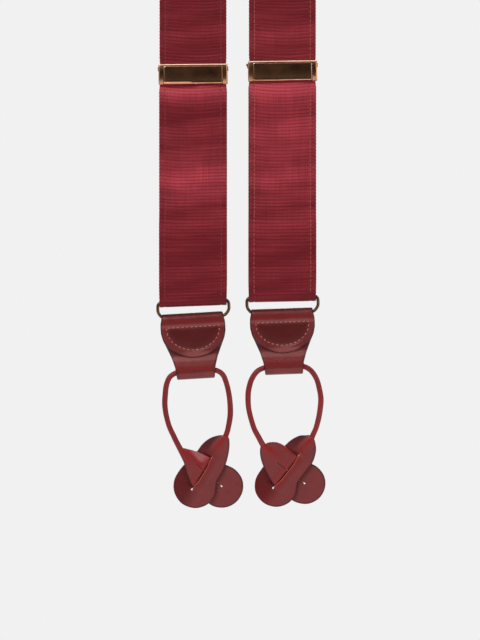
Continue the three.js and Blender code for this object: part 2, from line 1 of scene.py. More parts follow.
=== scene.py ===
"""A pair of dress suspenders hanging from a rail: ribbon straps, brass adjusters and leather button ends."""
import bpy
import numpy as np
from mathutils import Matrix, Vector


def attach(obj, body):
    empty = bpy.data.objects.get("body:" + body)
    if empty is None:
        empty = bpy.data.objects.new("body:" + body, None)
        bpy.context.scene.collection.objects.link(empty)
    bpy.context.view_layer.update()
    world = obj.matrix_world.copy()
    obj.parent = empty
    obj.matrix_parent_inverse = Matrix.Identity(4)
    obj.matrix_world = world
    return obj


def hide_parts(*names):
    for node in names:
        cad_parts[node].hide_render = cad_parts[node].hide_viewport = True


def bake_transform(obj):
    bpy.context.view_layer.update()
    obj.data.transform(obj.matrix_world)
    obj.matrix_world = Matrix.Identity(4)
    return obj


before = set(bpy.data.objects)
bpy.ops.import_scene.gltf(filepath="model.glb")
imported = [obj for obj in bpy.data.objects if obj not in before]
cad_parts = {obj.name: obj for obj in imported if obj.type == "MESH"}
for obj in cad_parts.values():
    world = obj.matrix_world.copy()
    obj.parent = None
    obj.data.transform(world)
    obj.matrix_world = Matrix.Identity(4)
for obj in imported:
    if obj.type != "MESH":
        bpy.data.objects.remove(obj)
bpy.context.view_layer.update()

# ---- Camera -------------------------------------------------------------------------------
# A long lens a good two metres in front of the straps, level with the lower half of the pair,
# so that their front runs fill a frame 268 mm wide and 358 mm high.
SENSOR, STAND_OFF, FRAME_HEIGHT = 36, 2.1855, 0.358
camera_data = bpy.data.cameras.new("front_view")
camera_data.sensor_width = SENSOR
camera_data.lens = SENSOR * STAND_OFF / FRAME_HEIGHT
camera_data.clip_start = 0.05
camera = bpy.data.objects.new("front_view", camera_data)
camera.location = (0.0013, -2.2, -0.529)
camera.rotation_euler = (np.pi / 2, 0, 0)
bpy.context.scene.collection.objects.link(camera)
bpy.context.scene.camera = camera
bpy.context.scene.view_settings.view_transform = "Standard"


# ---- Studio -------------------------------------------------------------------------------
# A pale floor well below the hanging pair, an even pale surround, and large soft lamps. The
# surround is darker straight ahead, so polished brass faces show deep and their edges bright.
def put(tree, kind, feeds=None, **settings):
    """Adds one shader node, sets its options, and sets or links each of its inputs in feeds."""
    node = tree.nodes.new("ShaderNode" + kind)
    for option, value in settings.items():
        setattr(node, option, value)
    for key, value in (feeds or {}).items():
        if isinstance(value, bpy.types.NodeSocket):
            tree.links.new(value, node.inputs[key])
        else:
            node.inputs[key].default_value = value
    return node


def tint(red, green, blue):
    """A display colour, 0 to 255 a channel, turned into the light values that a shader takes."""
    c = np.array([red, green, blue]) / 255
    light = np.where(c <= 0.04045, c / 12.92, ((c + 0.055) / 1.055) ** 2.4)
    return (*light.tolist(), 1.0)


def spread(tree, value, low, high, to_low=0.0, to_high=1.0):
    """Turns low..high into to_low..to_high, held at both ends."""
    feeds = {"Value": value, "From Min": low, "From Max": high, "To Min": to_low, "To Max": to_high}
    return put(tree, "MapRange", feeds).outputs["Result"]


def dye(tree, share, first, second, how="MIX"):
    """Colour: first where share is 0, second where it is 1."""
    return put(tree, "Mix", {0: share, 6: first, 7: second}, data_type="RGBA", blend_type=how).outputs[2]


world = bpy.data.worlds.new("studio")
world.use_nodes = True
air = world.node_tree
air.nodes.clear()
heading = put(air, "SeparateXYZ", {0: put(air, "TexCoord").outputs["Generated"]})
ahead = spread(air, heading.outputs["Y"], -0.78, -0.975)
low = spread(air, heading.outputs["Z"], 0.1, -0.5)
surround = dye(air, ahead, tint(228, 228, 230), tint(52, 45, 42))
surround = dye(air, low, surround, tint(150, 146, 142))
unseen = put(air, "Background", {"Color": surround, "Strength": 0.62})
seen = put(air, "Background", {"Color": tint(241, 241, 241), "Strength": 1.0})
either = put(air, "MixShader", {0: put(air, "LightPath").outputs["Is Camera Ray"],
                                1: unseen.outputs[0], 2: seen.outputs[0]})
put(air, "OutputWorld", {"Surface": either.outputs[0]})
bpy.context.scene.world = world


def lamp(name, place, aim, size, power, colour=(1, 1, 1)):
    """A square soft light at place, facing aim."""
    data = bpy.data.lights.new(name, "AREA")
    data.shape = "RECTANGLE"
    data.size, data.size_y = size
    data.energy = power
    data.color = colour
    item = bpy.data.objects.new(name, data)
    item.location = place
    way = Vector(aim) - Vector(place)
    item.rotation_euler = way.to_track_quat("-Z", "Y").to_euler()
    bpy.context.scene.collection.objects.link(item)


lamp("key", (-0.75, -1.5, 0.75), (0, 0, -0.45), (1.1, 0.8), 21)
lamp("fill", (1.35, -1.3, -0.15), (0, 0, -0.45), (0.9, 1.2), 7)
lamp("rear", (0.5, 1.7, 0.7), (0, 0, -0.3), (1.2, 0.9), 16)

turn = np.linspace(0, 2 * np.pi, 96, endpoint=False)
floor_rim = np.stack([6 * np.cos(turn), 6 * np.sin(turn), np.full(96, -1.3)], 1)
floor_mesh = bpy.data.meshes.new("floor")
floor_mesh.from_pydata(floor_rim.tolist(), [], [list(range(96))])
floor = bpy.data.objects.new("floor", floor_mesh)
bpy.context.scene.collection.objects.link(floor)
floor_paint = bpy.data.materials.new("floor_paint")
floor_paint.use_nodes = True
paint = floor_paint.node_tree.nodes["Principled BSDF"].inputs
paint["Base Color"].default_value = (0.4, 0.4, 0.4, 1)
paint["Roughness"].default_value = 0.8
paint["Emission Color"].default_value = (0.86, 0.86, 0.86, 1)
paint["Emission Strength"].default_value = 0.76
floor_mesh.materials.append(floor_paint)

# ---- Straps -------------------------------------------------------------------------------
# Each strap is two 38 mm ribbons of ribbed silk and cotton laid back to back and sewn near both
# edges. It runs from the back patch over the rail, down in front through its adjuster, round
# the ring, and up behind itself to the adjuster's anchor bar, where its end is turned and sewn.
RAIL_R = 13.65
OVER = np.pi * RAIL_R
STRAP_HALF = 19
STRAP_X = 25
REAR_END, PATCH_TOP = -92, -50
LEAN = np.tan(np.radians(8))
RING_TURN_R, BAR_TURN_R = 2.05, 1.95
BAR_DROP = 3
HEM = 13
SIDES = {"left": -1, "right": 1}
RING_Z = {"left": -518.4, "right": -515.9}
RING_Y, TAIL_Y = -11.6, -9.55
CLIP_Z = {"left": -385.9, "right": -384.1}
CLIP_H = 11.3
FOLD_TILT = {"left": np.tan(np.radians(2.2)), "right": np.tan(np.radians(1.2))}
RIB = 1.85
SEW_LINE = 15.9


def strap_route(side, ring_z, clip_z, step=0.05):
    """The strap's middle line as a table against the length s in mm from the rail's rear side.

    The outward direction turns steadily over the rail, once more round the ring, and back again
    over the anchor bar; the line is the running sum of the direction at right angles to it. From the
    rail's front side to the patch's top the strap bends steadily toward the middle, and it runs
    straight on inside the patch.
    """
    upward = clip_z - BAR_DROP - ring_z
    marks = np.cumsum([0, OVER, -ring_z, np.pi * RING_TURN_R, upward, np.pi * BAR_TURN_R, HEM])
    s = np.arange(REAR_END, marks[-1] + step, step)
    turned = np.interp(s, [REAR_END, *marks], np.array([0, 0, 1, 1, 2, 2, 1, 1]) * np.pi)
    half = (turned[1:] + turned[:-1]) / 2
    y = RAIL_R + np.concatenate([[0], np.cumsum(-np.sin(half) * step)])
    z = REAR_END + np.concatenate([[0], np.cumsum(np.cos(half) * step)])
    bend = OVER - PATCH_TOP
    left = np.clip(OVER - s, 0, bend)
    x = STRAP_X - LEAN * left ** 2 / (2 * bend) - LEAN * np.maximum(0, PATCH_TOP - s)
    slant = np.arctan(LEAN * left / bend)
    return {"s": s, "x": side * x, "y": y, "z": z, "turned": turned, "slant": slant, "marks": marks}


def on_route(route, s):
    """Middle point, outward and crosswise directions of the route at lengths s, as arrays."""
    keys = ("x", "y", "z", "turned", "slant")
    x, y, z, turned, slant = (np.interp(s, route["s"], route[key]) for key in keys)
    out = np.stack([0 * s, np.cos(turned), np.sin(turned)], -1)
    onward = np.stack([0 * s, -np.sin(turned), np.cos(turned)], -1)
    side = np.sign(route["x"][-1])
    across = np.cos(slant)[..., None] * np.array([1.0, 0, 0]) - side * np.sin(slant)[..., None] * onward
    return np.stack([x, y, z], -1), out, across


def hump(x, low, high, soft):
    """1 between low and high, 0 outside, with soft edges soft wide."""
    rise = np.clip((x - low) / soft + 0.5, 0, 1)
    fall = np.clip((high - x) / soft + 0.5, 0, 1)
    return (rise * rise * (3 - 2 * rise)) * (fall * fall * (3 - 2 * fall))


def strap_stand(name, s, u):
    """How far the strap stands off its middle line: a bulge that is highest 7 mm below the adjuster
    and dies away slowly, a slow swell between adjuster and ring, and long shallow waves."""
    marks = routes[name]["marks"]
    z = OVER - s
    below = np.maximum(CLIP_Z[name] - CLIP_H - z, 0)
    front = hump(s, marks[1], marks[2], 10)
    aside = (u / STRAP_HALF) ** 2
    bulge = 1.9 * (below / 7) * np.exp(1 - below / 7) * (1 - 0.3 * aside)
    span = CLIP_Z[name] - CLIP_H - RING_Z[name]
    swell = 0.4 * np.sin(np.pi * np.clip(below / span, 0, 1)) ** 2 * (1 - 0.5 * aside)
    free = front * (1 - hump(z, CLIP_Z[name] - CLIP_H - 2, CLIP_Z[name] + 3, 8))
    phase = {"left": 1.3, "right": 2.35}[name]
    wave = 0.24 * np.sin(s / 9.7 - phase) + 0.14 * np.sin(s / 5.3 + u / 8)
    tail = hump(s, marks[3] + 6, marks[4] - 4, 10)
    return front * (bulge + swell) + free * wave + 0.5 * tail * np.sin(s / 23)


def strap_highlight(name, s, u):
    """Painted highlight on the silk, 0 to 1: brightest where it swells out under the adjuster, again
    in one long rise of the cloth lower down, on the right strap faintly above the adjuster too, and
    dull where it hangs close to the ring."""
    below = CLIP_Z[name] - CLIP_H - (OVER - s)
    height, centre, reach = {"left": (0.62, 52, 17), "right": (0.5, 36, 40)}[name]
    highlight_amount = 1.05 * np.exp(-((below - 2) / 7.5) ** 2) * (below > -6)
    highlight_amount = highlight_amount + height * np.exp(-((below - centre) / reach) ** 2)
    highlight_amount = highlight_amount + 0.12 * np.exp(-((below + 24) / 9) ** 2) * (name == "right")
    ripple = 0.09 * np.sin(s / 4.3 + 0.5 * np.sin(u / 7)) + 0.07 * np.sin(s / 2.1 + u / 11)
    return np.clip(0.07 + highlight_amount * (1 - 0.3 * (u / STRAP_HALF) ** 4) + ripple, 0, 1)


def strap_half(name, s):
    """Half the strap's width: 19 mm, a little less wherever its adjuster slides, pinched where that
    holds it now and at the anchor bar, and drawn in at the ring."""
    m = routes[name]["marks"]
    clip = OVER - CLIP_Z[name]
    full, slid, pinched, folded = STRAP_HALF, 18.7, 18.5, 18.8
    stops = {clip - 110: full, clip - 103: slid, clip - 3: slid, clip: pinched, clip + CLIP_H: pinched,
             clip + CLIP_H + 3: slid, clip + 82: slid, clip + 90: full, m[2] - 9: full, m[2]: folded,
             m[3]: folded, m[3] + 9: full, m[4] - 12: full, m[4] - 7: pinched}
    return np.interp(s, list(stops), list(stops.values()))


def strap_point(name, s, u, off):
    """A point of the strap at length s, u mm across from the middle and off mm out of its middle line.
    Near the ring every crosswise row is tilted with the ring."""
    at, out, across = on_route(routes[name], s)
    m = routes[name]["marks"]
    point = at + across * u[..., None] + out * (off + strap_stand(name, s, u))[..., None]
    tilted = np.interp(s, [m[2] - 40, m[2] - 8, m[3] + 8, m[3] + 40], [0, 1, 1, 0])
    point[..., 2] += FOLD_TILT[name] * u * tilted
    point[..., 0] = SIDES[name] * np.maximum(SIDES[name] * point[..., 0], 0.2)
    return point


def make_piece(name, bodies, finish, ring=False, marks=None):
    """A mesh object from closed bodies, each an array of loops of points in mm, shape (rows, loop, 3).

    Each loop is joined to the next by four-sided faces. The first and the last loop are closed by
    faces between facing points, or joined to each other where the body is a ring. marks are
    per-point attributes. Faces are turned outward by the sign of the enclosed volume.
    """
    points, faces, start = [], [], 0
    for loops in bodies:
        n, m, _ = loops.shape
        rows = np.arange(n if ring else n - 1)[:, None]
        j = np.arange(m)[None]
        k, up = (j + 1) % m, ((rows + 1) % n) * m
        quads = np.stack([rows * m + j, rows * m + k, up + k, up + j], -1).reshape(-1, 4)
        a, b, c, d = (loops.reshape(-1, 3)[quads[:, i]] for i in range(4))
        middle = loops.reshape(-1, 3).mean(0)
        volume = (np.cross(b - middle, c - middle) * (a - middle)).sum()
        volume += (np.cross(c - middle, d - middle) * (a - middle)).sum()
        closing = np.empty((0, 4), int)
        if not ring:
            i = np.arange(0, m // 2)
            first = np.stack([i + 1, i, (m - i) % m, m - i - 1], -1)
            closing = np.concatenate([first, first[:, ::-1] + (n - 1) * m])
        quads = np.concatenate([quads, closing])
        quads = quads[:, ::-1] if volume < 0 else quads
        points.append(loops.reshape(-1, 3))
        faces.append(quads + start)
        start += n * m
    faces = [list(dict.fromkeys(f)) for f in np.concatenate(faces).tolist()]
    mesh = bpy.data.meshes.new(name)
    mesh.from_pydata((np.concatenate(points) / 1000).tolist(), [], faces)
    for key, values in (marks or {}).items():
        attribute = mesh.attributes.new(key, "FLOAT_VECTOR", "POINT")
        attribute.data.foreach_set("vector", values.astype(np.float32).ravel())
    mesh.polygons.foreach_set("use_smooth", np.ones(len(mesh.polygons), bool))
    mesh.set_sharp_from_angle(angle=np.radians(52))
    mesh.materials.append(finish)
    piece = bpy.data.objects.new(name, mesh)
    bpy.context.scene.collection.objects.link(piece)
    return piece


def new_finish(name, **sockets):
    """A material with one principled shader, whose named sockets hold the constants given."""
    made = bpy.data.materials.new(name)
    made.use_nodes = True
    made.node_tree.nodes.clear()
    shader = put(made.node_tree, "BsdfPrincipled", {k.replace("_", " "): v for k, v in sockets.items()})
    put(made.node_tree, "OutputMaterial", {"Surface": shader.outputs[0]})
    return made, made.node_tree, shader


def ribbon_weave(name, body, shade, highlight_and_fuzz_tone):
    """Ribbed ribbon: packed fine threads run along the strap over thick crosswise ribs. The
    attribute lie holds the place on the cloth in mm, across and along, and the share of painted
    highlight there. The rib valleys take painted shade."""
    made, tree, shader = new_finish(name, Roughness=0.42, Sheen_Weight=0.06, Sheen_Roughness=0.4,
                                    Sheen_Tint=highlight_and_fuzz_tone, Specular_IOR_Level=0.4,
                                    Specular_Tint=(1.0, 0.46, 0.5, 1.0))
    lie = put(tree, "Attribute", attribute_name="lie").outputs["Vector"]
    cloth = put(tree, "SeparateXYZ", {0: lie})
    rib = put(tree, "Math", {0: cloth.outputs["Y"], 1: 2 * np.pi / RIB}, operation="MULTIPLY").outputs[0]
    crest = put(tree, "Math", {0: rib}, operation="COSINE").outputs[0]
    warp = put(tree, "Math", {0: cloth.outputs["X"], 1: 2 * np.pi / 0.37}, operation="MULTIPLY").outputs[0]
    thread = put(tree, "Math", {0: warp}, operation="SINE").outputs[0]
    streaks = put(tree, "Mapping", {"Vector": lie, "Scale": (2.2, 0.05, 1.0)})
    slub = put(tree, "TexNoise", {"Vector": streaks.outputs[0], "Scale": 1.0, "Detail": 3.0}).outputs[0]
    patches = put(tree, "TexNoise", {"Vector": lie, "Scale": 0.045, "Detail": 2.0}).outputs[0]
    fuzz = put(tree, "TexNoise", {"Vector": lie, "Scale": 3.4, "Detail": 3.0}).outputs[0]
    row = put(tree, "Mapping", {"Vector": lie, "Scale": (0.03, 0.7, 0.0)})
    uneven = put(tree, "TexNoise", {"Vector": row.outputs[0], "Scale": 1.0, "Detail": 2.0}).outputs[0]
    highlight_share = put(tree, "Math", {0: cloth.outputs["Z"], 1: spread(tree, uneven, 0.3, 0.7, -0.14, 0.14)},
                 operation="ADD", use_clamp=True).outputs[0]
    # Painted highlight: the colour goes toward the bright tone by the share kept in lie.
    colour = dye(tree, highlight_share, body, highlight_and_fuzz_tone)
    # Painted shade in the valleys between the ribs.
    colour = dye(tree, spread(tree, crest, -1.0, 0.3, 0.42, 0.0), colour, shade)
    colour = dye(tree, spread(tree, slub, 0.4, 0.75, 0.0, 0.35), colour, shade)
    colour = dye(tree, spread(tree, patches, 0.45, 0.72, 0.0, 0.3), colour, shade)
    colour = dye(tree, spread(tree, fuzz, 0.58, 0.74, 0.0, 0.15), colour, highlight_and_fuzz_tone)
    tree.links.new(colour, shader.inputs["Base Color"])
    fine = put(tree, "Math", {0: thread, 1: fuzz}, operation="MULTIPLY")
    bump = put(tree, "Bump", {"Height": fine.outputs[0], "Strength": 0.2, "Distance": 0.00012})
    tree.links.new(bump.outputs[0], shader.inputs["Normal"])
    return made


def rounded_over(from_edge, radius, least=0.004):
    """Share of the full thickness at a distance from an edge: a quarter circle of this radius, but
    never under the root of least."""
    return np.sqrt(np.clip(1 - (1 - np.clip(from_edge / radius, 0, 1)) ** 2, least, 1))


def sides(count):
    """For a flat loop that runs over the show side and back behind: 1 for the count points on the
    show side, -1 for as many behind, and 0 for the point at each edge."""
    return np.concatenate([[0], np.ones(count), [0], -np.ones(count)])[None]


def ribbon(name, piece_name, s_from, s_to, layer, steps, finish):
    """One ribbon of a strap. Rows follow the ribs, which bow down a little in the middle; the show
    side rises to a crest on each rib, sinks into the sewn lines, and rounds over at both edges."""
    steps_s = np.linspace(s_from, s_to, int((s_to - s_from) / RIB * steps) + 1)[:, None]
    right = np.array([2.2, 5.5, 8.8, 12, 14.6, 15.3, 15.62, 15.9, 16.18, 16.6, 17.9, 18.6, 18.9])
    line = np.concatenate([-right[::-1], right])
    u = np.concatenate([[-STRAP_HALF], line, [STRAP_HALF], line[::-1]])[None]
    show = sides(len(line))
    crest = np.cos(2 * np.pi * steps_s / RIB)
    from_edge = STRAP_HALF - np.abs(u)
    plump = rounded_over(from_edge, 0.4, 0)
    groove = 0.2 * np.exp(-(((np.abs(u) - SEW_LINE) / 0.4) ** 2))
    off = 0.5 * layer + layer * show * 0.32 * plump
    off = off + layer * (show > 0) * (0.06 * crest * np.clip(from_edge / 0.8, 0, 1) - groove)
    half = strap_half(name, steps_s)
    wide = u * (half + 0.1 * crest) / STRAP_HALF
    free = np.interp(steps_s, [s_from, s_from + 12, s_to - 12, s_to], [0, 1, 1, 0])
    bowed = steps_s + free * (0.8 - 0.9 * (u / STRAP_HALF) ** 2 + 0.22 * np.sin(u / 6 + steps_s / 31))
    loops = strap_point(name, bowed + 0 * off, wide + 0 * bowed, off)
    # The front run carries its painted highlight share in lie; the tail gets an even low share.
    highlight_amount = strap_highlight(name, bowed, u) if s_to < routes[name]["marks"][3] - 3 else 0.15 + 0 * bowed
    lie = np.stack([wide + 0 * bowed, steps_s + 0 * bowed, highlight_amount + 0 * bowed], -1)
    return make_piece(piece_name, [loops], finish, marks={"lie": lie})


routes = {name: strap_route(side, RING_Z[name], CLIP_Z[name]) for name, side in SIDES.items()}
# The last colour of each weave is its painted highlight tone, also used for fuzz and the sheen tint.
face_weave = ribbon_weave("burgundy_face_weave", tint(103, 13, 22), tint(69, 7, 15), tint(184, 62, 74))
back_weave = ribbon_weave("burgundy_back_weave", tint(98, 17, 26), tint(66, 10, 17), tint(150, 54, 64))
for name, side in SIDES.items():
    m = routes[name]["marks"]
    bottom = m[2] + np.pi * RING_TURN_R / 2
    for layer, kind, steps, weave in ((1, "face", 5, face_weave), (-1, "backing", 4, back_weave)):
        run = ribbon(name, f"{name}_{kind}_ribbon_run", -91.5, bottom - 0.1, layer, steps, weave)
        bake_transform(run)
        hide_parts(f"{name}_{kind}_ribbon")
        tail = ribbon(name, f"{name}_{kind}_ribbon_tail", bottom + 0.1, m[-1] - 0.1, layer, 4, weave)
        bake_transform(tail)
        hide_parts(f"{name}_{kind}_ribbon_loop")


# ---- Strap stitching ----------------------------------------------------------------------
# Two rows of lockstitch hold the ribbons together, 3 mm in from the edges. The right strap was
# sewn with a paler spool. Each stitch dips into the cloth at both ends.
def thread_finish(name, body, shade):
    """Twisted cotton thread: slanting plies shown by fine stripes of shade and bump."""
    made, tree, shader = new_finish(name, Roughness=0.62, Sheen_Weight=0.25, Specular_IOR_Level=0.35)
    place = put(tree, "TexCoord").outputs["Object"]
    plies = put(tree, "TexWave", {"Vector": place, "Scale": 900.0, "Distortion": 2.0},
                bands_direction="DIAGONAL")
    spots = put(tree, "TexNoise", {"Vector": place, "Scale": 420.0, "Detail": 2.0}).outputs[0]
    colour = dye(tree, spread(tree, plies.outputs[1], 0.2, 0.8), shade, body)
    colour = dye(tree, spread(tree, spots, 0.5, 0.75, 0.0, 0.5), colour, shade)
    tree.links.new(colour, shader.inputs["Base Color"])
    bump = put(tree, "Bump", {"Height": plies.outputs[1], "Strength": 0.4, "Distance": 0.0001})
    tree.links.new(bump.outputs[0], shader.inputs["Normal"])
    return made


def stitch_lengths(length, thick):
    """One stitch as loops: t along it, and the two offsets of a round thread that thins and dips
    toward both ends."""
    t = np.array([-0.5, -0.44, -0.25, 0, 0.25, 0.44, 0.5]) * length
    t = t[:, None]
    radius = np.sqrt(np.clip(1 - (t / (0.53 * length)) ** 4, 0.02, 1)) * thick
    turn = np.linspace(0, 2 * np.pi, 8, endpoint=False)
    dip = -1.1 * thick * (2 * t / length) ** 4
    return t + 0 * turn, radius * np.cos(turn), radius * np.sin(turn) + dip


threads = {"left": thread_finish("burgundy_thread", tint(146, 46, 52), tint(84, 20, 26)),
           "right": thread_finish("tan_thread", tint(186, 98, 68), tint(112, 40, 36))}
for name, side in SIDES.items():
    m = routes[name]["marks"]
    t, wide, high = stitch_lengths(2.05, 0.17)
    starts = np.arange(-48, m[2] - 1, 2.6)[:, None, None]
    bodies = []
    for line in (-SEW_LINE, SEW_LINE):
        s = starts + t
        u = line * strap_half(name, s) / STRAP_HALF + wide
        bodies.extend(strap_point(name, s + 0.15, u, 0.72 + 0 * s + high))
    sewing = make_piece(f"{name}_edge_stitching", bodies, threads[name])
    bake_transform(sewing)

# ---- Adjusters ----------------------------------------------------------------------------
# A slide pressed from polished brass sheet: a channel that holds the strap, a lever on a peened
# pin that grips it, and behind them a wire bar that the strap's end is sewn round.
CLIP_TILT = {"left": np.radians(0.6), "right": np.radians(0.8)}


def placed(loops, at, tilt, turned=False):
    """Turns points by tilt about the front-to-back axis, right side up for a positive tilt, by half
    a turn about the upright where turned, and moves them to at."""
    x, y, z = loops[..., 0], loops[..., 1], loops[..., 2]
    moved = np.stack([x * np.cos(tilt) - z * np.sin(tilt), y, x * np.sin(tilt) + z * np.cos(tilt)], -1)
    return moved * (np.array([-1, -1, 1]) if turned else 1) + np.array(at)


def eased(corners, radii, closed=False):
    """A path through corner points, each corner rounded by a quadratic curve that starts and ends
    its radius away from the corner."""
    p = np.array(corners, float)
    before, after = np.roll(p, 1, 0), np.roll(p, -1, 0)
    r = np.broadcast_to(np.array(radii, float), (len(p),))[:, None]
    to_before = (before - p) / np.linalg.norm(before - p, axis=1, keepdims=True)
    to_after = (after - p) / np.linalg.norm(after - p, axis=1, keepdims=True)
    t = np.linspace(0, 1, 7)[None, :, None]
    a, c = (p + to_before * r)[:, None], (p + to_after * r)[:, None]
    curve = a * (1 - t) ** 2 + 2 * p[:, None] * t * (1 - t) + c * t ** 2
    if closed:
        return curve.reshape(-1, p.shape[1])
    return np.concatenate([p[:1], curve[1:-1].reshape(-1, p.shape[1]), p[-1:]])


def oblong(wide, high, radius, middle=(0, 0)):
    """A rounded rectangle as a closed outline, four points to each corner."""
    a = np.radians(np.array([[6, 32, 58, 84]]) + np.array([[0], [90], [180], [270]]))
    corner = np.array([[1, 1], [-1, 1], [-1, -1], [1, -1]]) * (np.array([wide, high]) / 2 - radius)
    outline = corner[:, None] + radius * np.stack([np.cos(a), np.sin(a)], -1)
    return outline.reshape(-1, 2) + np.array(middle)


def carried(path, section, up, closed=False):
    """A section carried along a path: its first coordinate lies at right angles to the path and to
    up, its second along up."""
    if closed:
        way = np.roll(path, -1, 0) - np.roll(path, 1, 0)
    else:
        way = np.gradient(path, axis=0)
    way = way / np.linalg.norm(way, axis=1, keepdims=True)
    side = np.cross(way, np.array(up, float))
    side = side / np.linalg.norm(side, axis=1, keepdims=True)
    rise = np.cross(side, way)
    return path[:, None] + side[:, None] * section[None, :, :1] + rise[:, None] * section[None, :, 1:]


def brass_finish(name, bright, dull, rough):
    """Brass: thin patches of tarnish, a few fine scratches, and a faint waviness from rolling."""
    made, tree, shader = new_finish(name, Metallic=1.0, Specular_Tint=(1.0, 0.9, 0.82, 1.0))
    place = put(tree, "TexCoord").outputs["Object"]
    cloud = put(tree, "TexNoise", {"Vector": place, "Scale": 140.0, "Detail": 4.0}).outputs[0]
    drawn = put(tree, "Mapping", {"Vector": place, "Scale": (0.25, 1.0, 3.0), "Rotation": (0.0, 0.12, 0.0)})
    scratch = put(tree, "TexNoise", {"Vector": drawn.outputs[0], "Scale": 1500.0, "Detail": 2.0}).outputs[0]
    colour = dye(tree, spread(tree, cloud, 0.42, 0.72), bright, dull)
    tree.links.new(colour, shader.inputs["Base Color"])
    tree.links.new(spread(tree, cloud, 0.3, 0.8, rough, rough * 2.2), shader.inputs["Roughness"])
    waved = put(tree, "TexNoise", {"Vector": place, "Scale": 60.0, "Detail": 1.0}).outputs[0]
    wave_bump = put(tree, "Bump", {"Height": waved, "Strength": 0.08, "Distance": 0.0006})
    bump = put(tree, "Bump", {"Height": scratch, "Strength": 0.16, "Distance": 0.00003,
                              "Normal": wave_bump.outputs[0]})
    tree.links.new(bump.outputs[0], shader.inputs["Normal"])
    return made


def slide_bodies():
    """The slide's two bodies: a channel of sheet whose front edges hook inward over the strap, and
    behind it the wire bail, whose back run is the anchor bar."""
    cheek, hook, front, back, rear = 19.05, 16.75, -3.4, 1.7, 6.05
    plan = [(hook, front, 0), (cheek, front, 0), (cheek, back, 0),
            (-cheek, back, 0), (-cheek, front, 0), (-hook, front, 0)]
    channel = carried(eased(plan, 0.5), oblong(0.5, 11.2, 0.22, (0, -5.65)), (0, 0, 1))
    bail = [(19, 1.2, -BAR_DROP), (19, rear, -BAR_DROP), (-19, rear, -BAR_DROP), (-19, 1.2, -BAR_DROP)]
    anchor = carried(eased(bail, 1.6), oblong(1.6, 1.6, 0.799), (0, 0, 1))
    return channel, anchor


def brow_loops():
    """The slide's upper lip: a rounded bar straight across over the lever."""
    line = np.stack([np.linspace(-19.1, 19.1, 24), np.full(24, -2.5), np.full(24, -0.33)], 1)
    return carried(line, oblong(2.8, 0.64, 0.3), (0, 0, 1))


def pin_loops(first, last=19.7):
    """The lever's pin: a rod across from first to last, with a low domed head at each end."""
    head_x = np.array([0, 0.06, 0.2, 0.45, 0.66, 0.7, 1.2])
    head_r = np.array([0.1, 0.5, 0.72, 0.76, 0.7, 0.58, 0.58])
    x = np.concatenate([first + head_x, last - head_x[::-1]])[:, None]
    r = np.concatenate([head_r, head_r[::-1]])[:, None]
    turn = np.linspace(0, 2 * np.pi, 16, endpoint=False)
    return np.stack([x + 0 * turn, -2.45 + r * np.cos(turn), -2.1 + r * np.sin(turn)], -1)


def lever_loops(lifted):
    """The lever: a sheet knuckle round the pin, a slightly bowed face, and a lower edge rolled
    forward. Where lifted is 1 the roll stands further out and closes into a hook."""
    x = np.linspace(-16.4, 16.4, 60)
    lift = hump(x, -16.2, 0.5, 5) * lifted
    a = np.radians(np.linspace(-35, 86, 12))
    knuckle = np.stack([-2.5 + 0.82 * np.cos(a), -2.1 + 0.82 * np.sin(a)], 1)
    brink = eased([(-2.6, -1.27), (-3.36, -1.3), (-3.36, -1.8)], 0.24)[1:]
    knuckle = np.concatenate([knuckle, brink])
    z = np.linspace(-3.0, -9.9, 9)
    face = np.stack([-3.36 - 0.1 * np.sin(np.pi * (z + 3) / -6.9), z], 1)
    q = np.linspace(0, 1, 12)
    end = np.radians(-60 - 150 * lift)[:, None] * q
    roll = 0.42 + 0.34 * lift[:, None]
    curl_y = -3.36 - roll + roll * np.cos(end) - 0.35 * lift[:, None] * q
    curl_z = -10.35 + roll * np.sin(end)
    line_y = np.concatenate([np.tile(knuckle[:, 0], (60, 1)), np.tile(face[:, 0], (60, 1)), curl_y], 1)
    line_z = np.concatenate([np.tile(knuckle[:, 1], (60, 1)), np.tile(face[:, 1], (60, 1)), curl_z], 1)
    way_y, way_z = np.gradient(line_y, axis=1), np.gradient(line_z, axis=1)
    size = np.hypot(way_y, way_z)
    end_on = np.abs(np.linspace(-1, 1, line_y.shape[1]))
    thick = 0.24 * np.sqrt(1 - np.clip((end_on - 0.96) / 0.04, 0, 0.97) ** 2)
    thick = thick * np.sqrt(1 - np.clip((np.abs(x) - 16.15) / 0.25, 0, 0.95) ** 2)[:, None]
    ahead_y, ahead_z = line_y - way_z / size * thick, line_z + way_y / size * thick
    behind_y, behind_z = line_y + way_z / size * thick, line_z - way_y / size * thick
    y = np.concatenate([ahead_y, behind_y[:, ::-1]], 1)
    z = np.concatenate([ahead_z, behind_z[:, ::-1]], 1)
    return np.stack([np.broadcast_to(x[:, None], y.shape), y, z], -1)


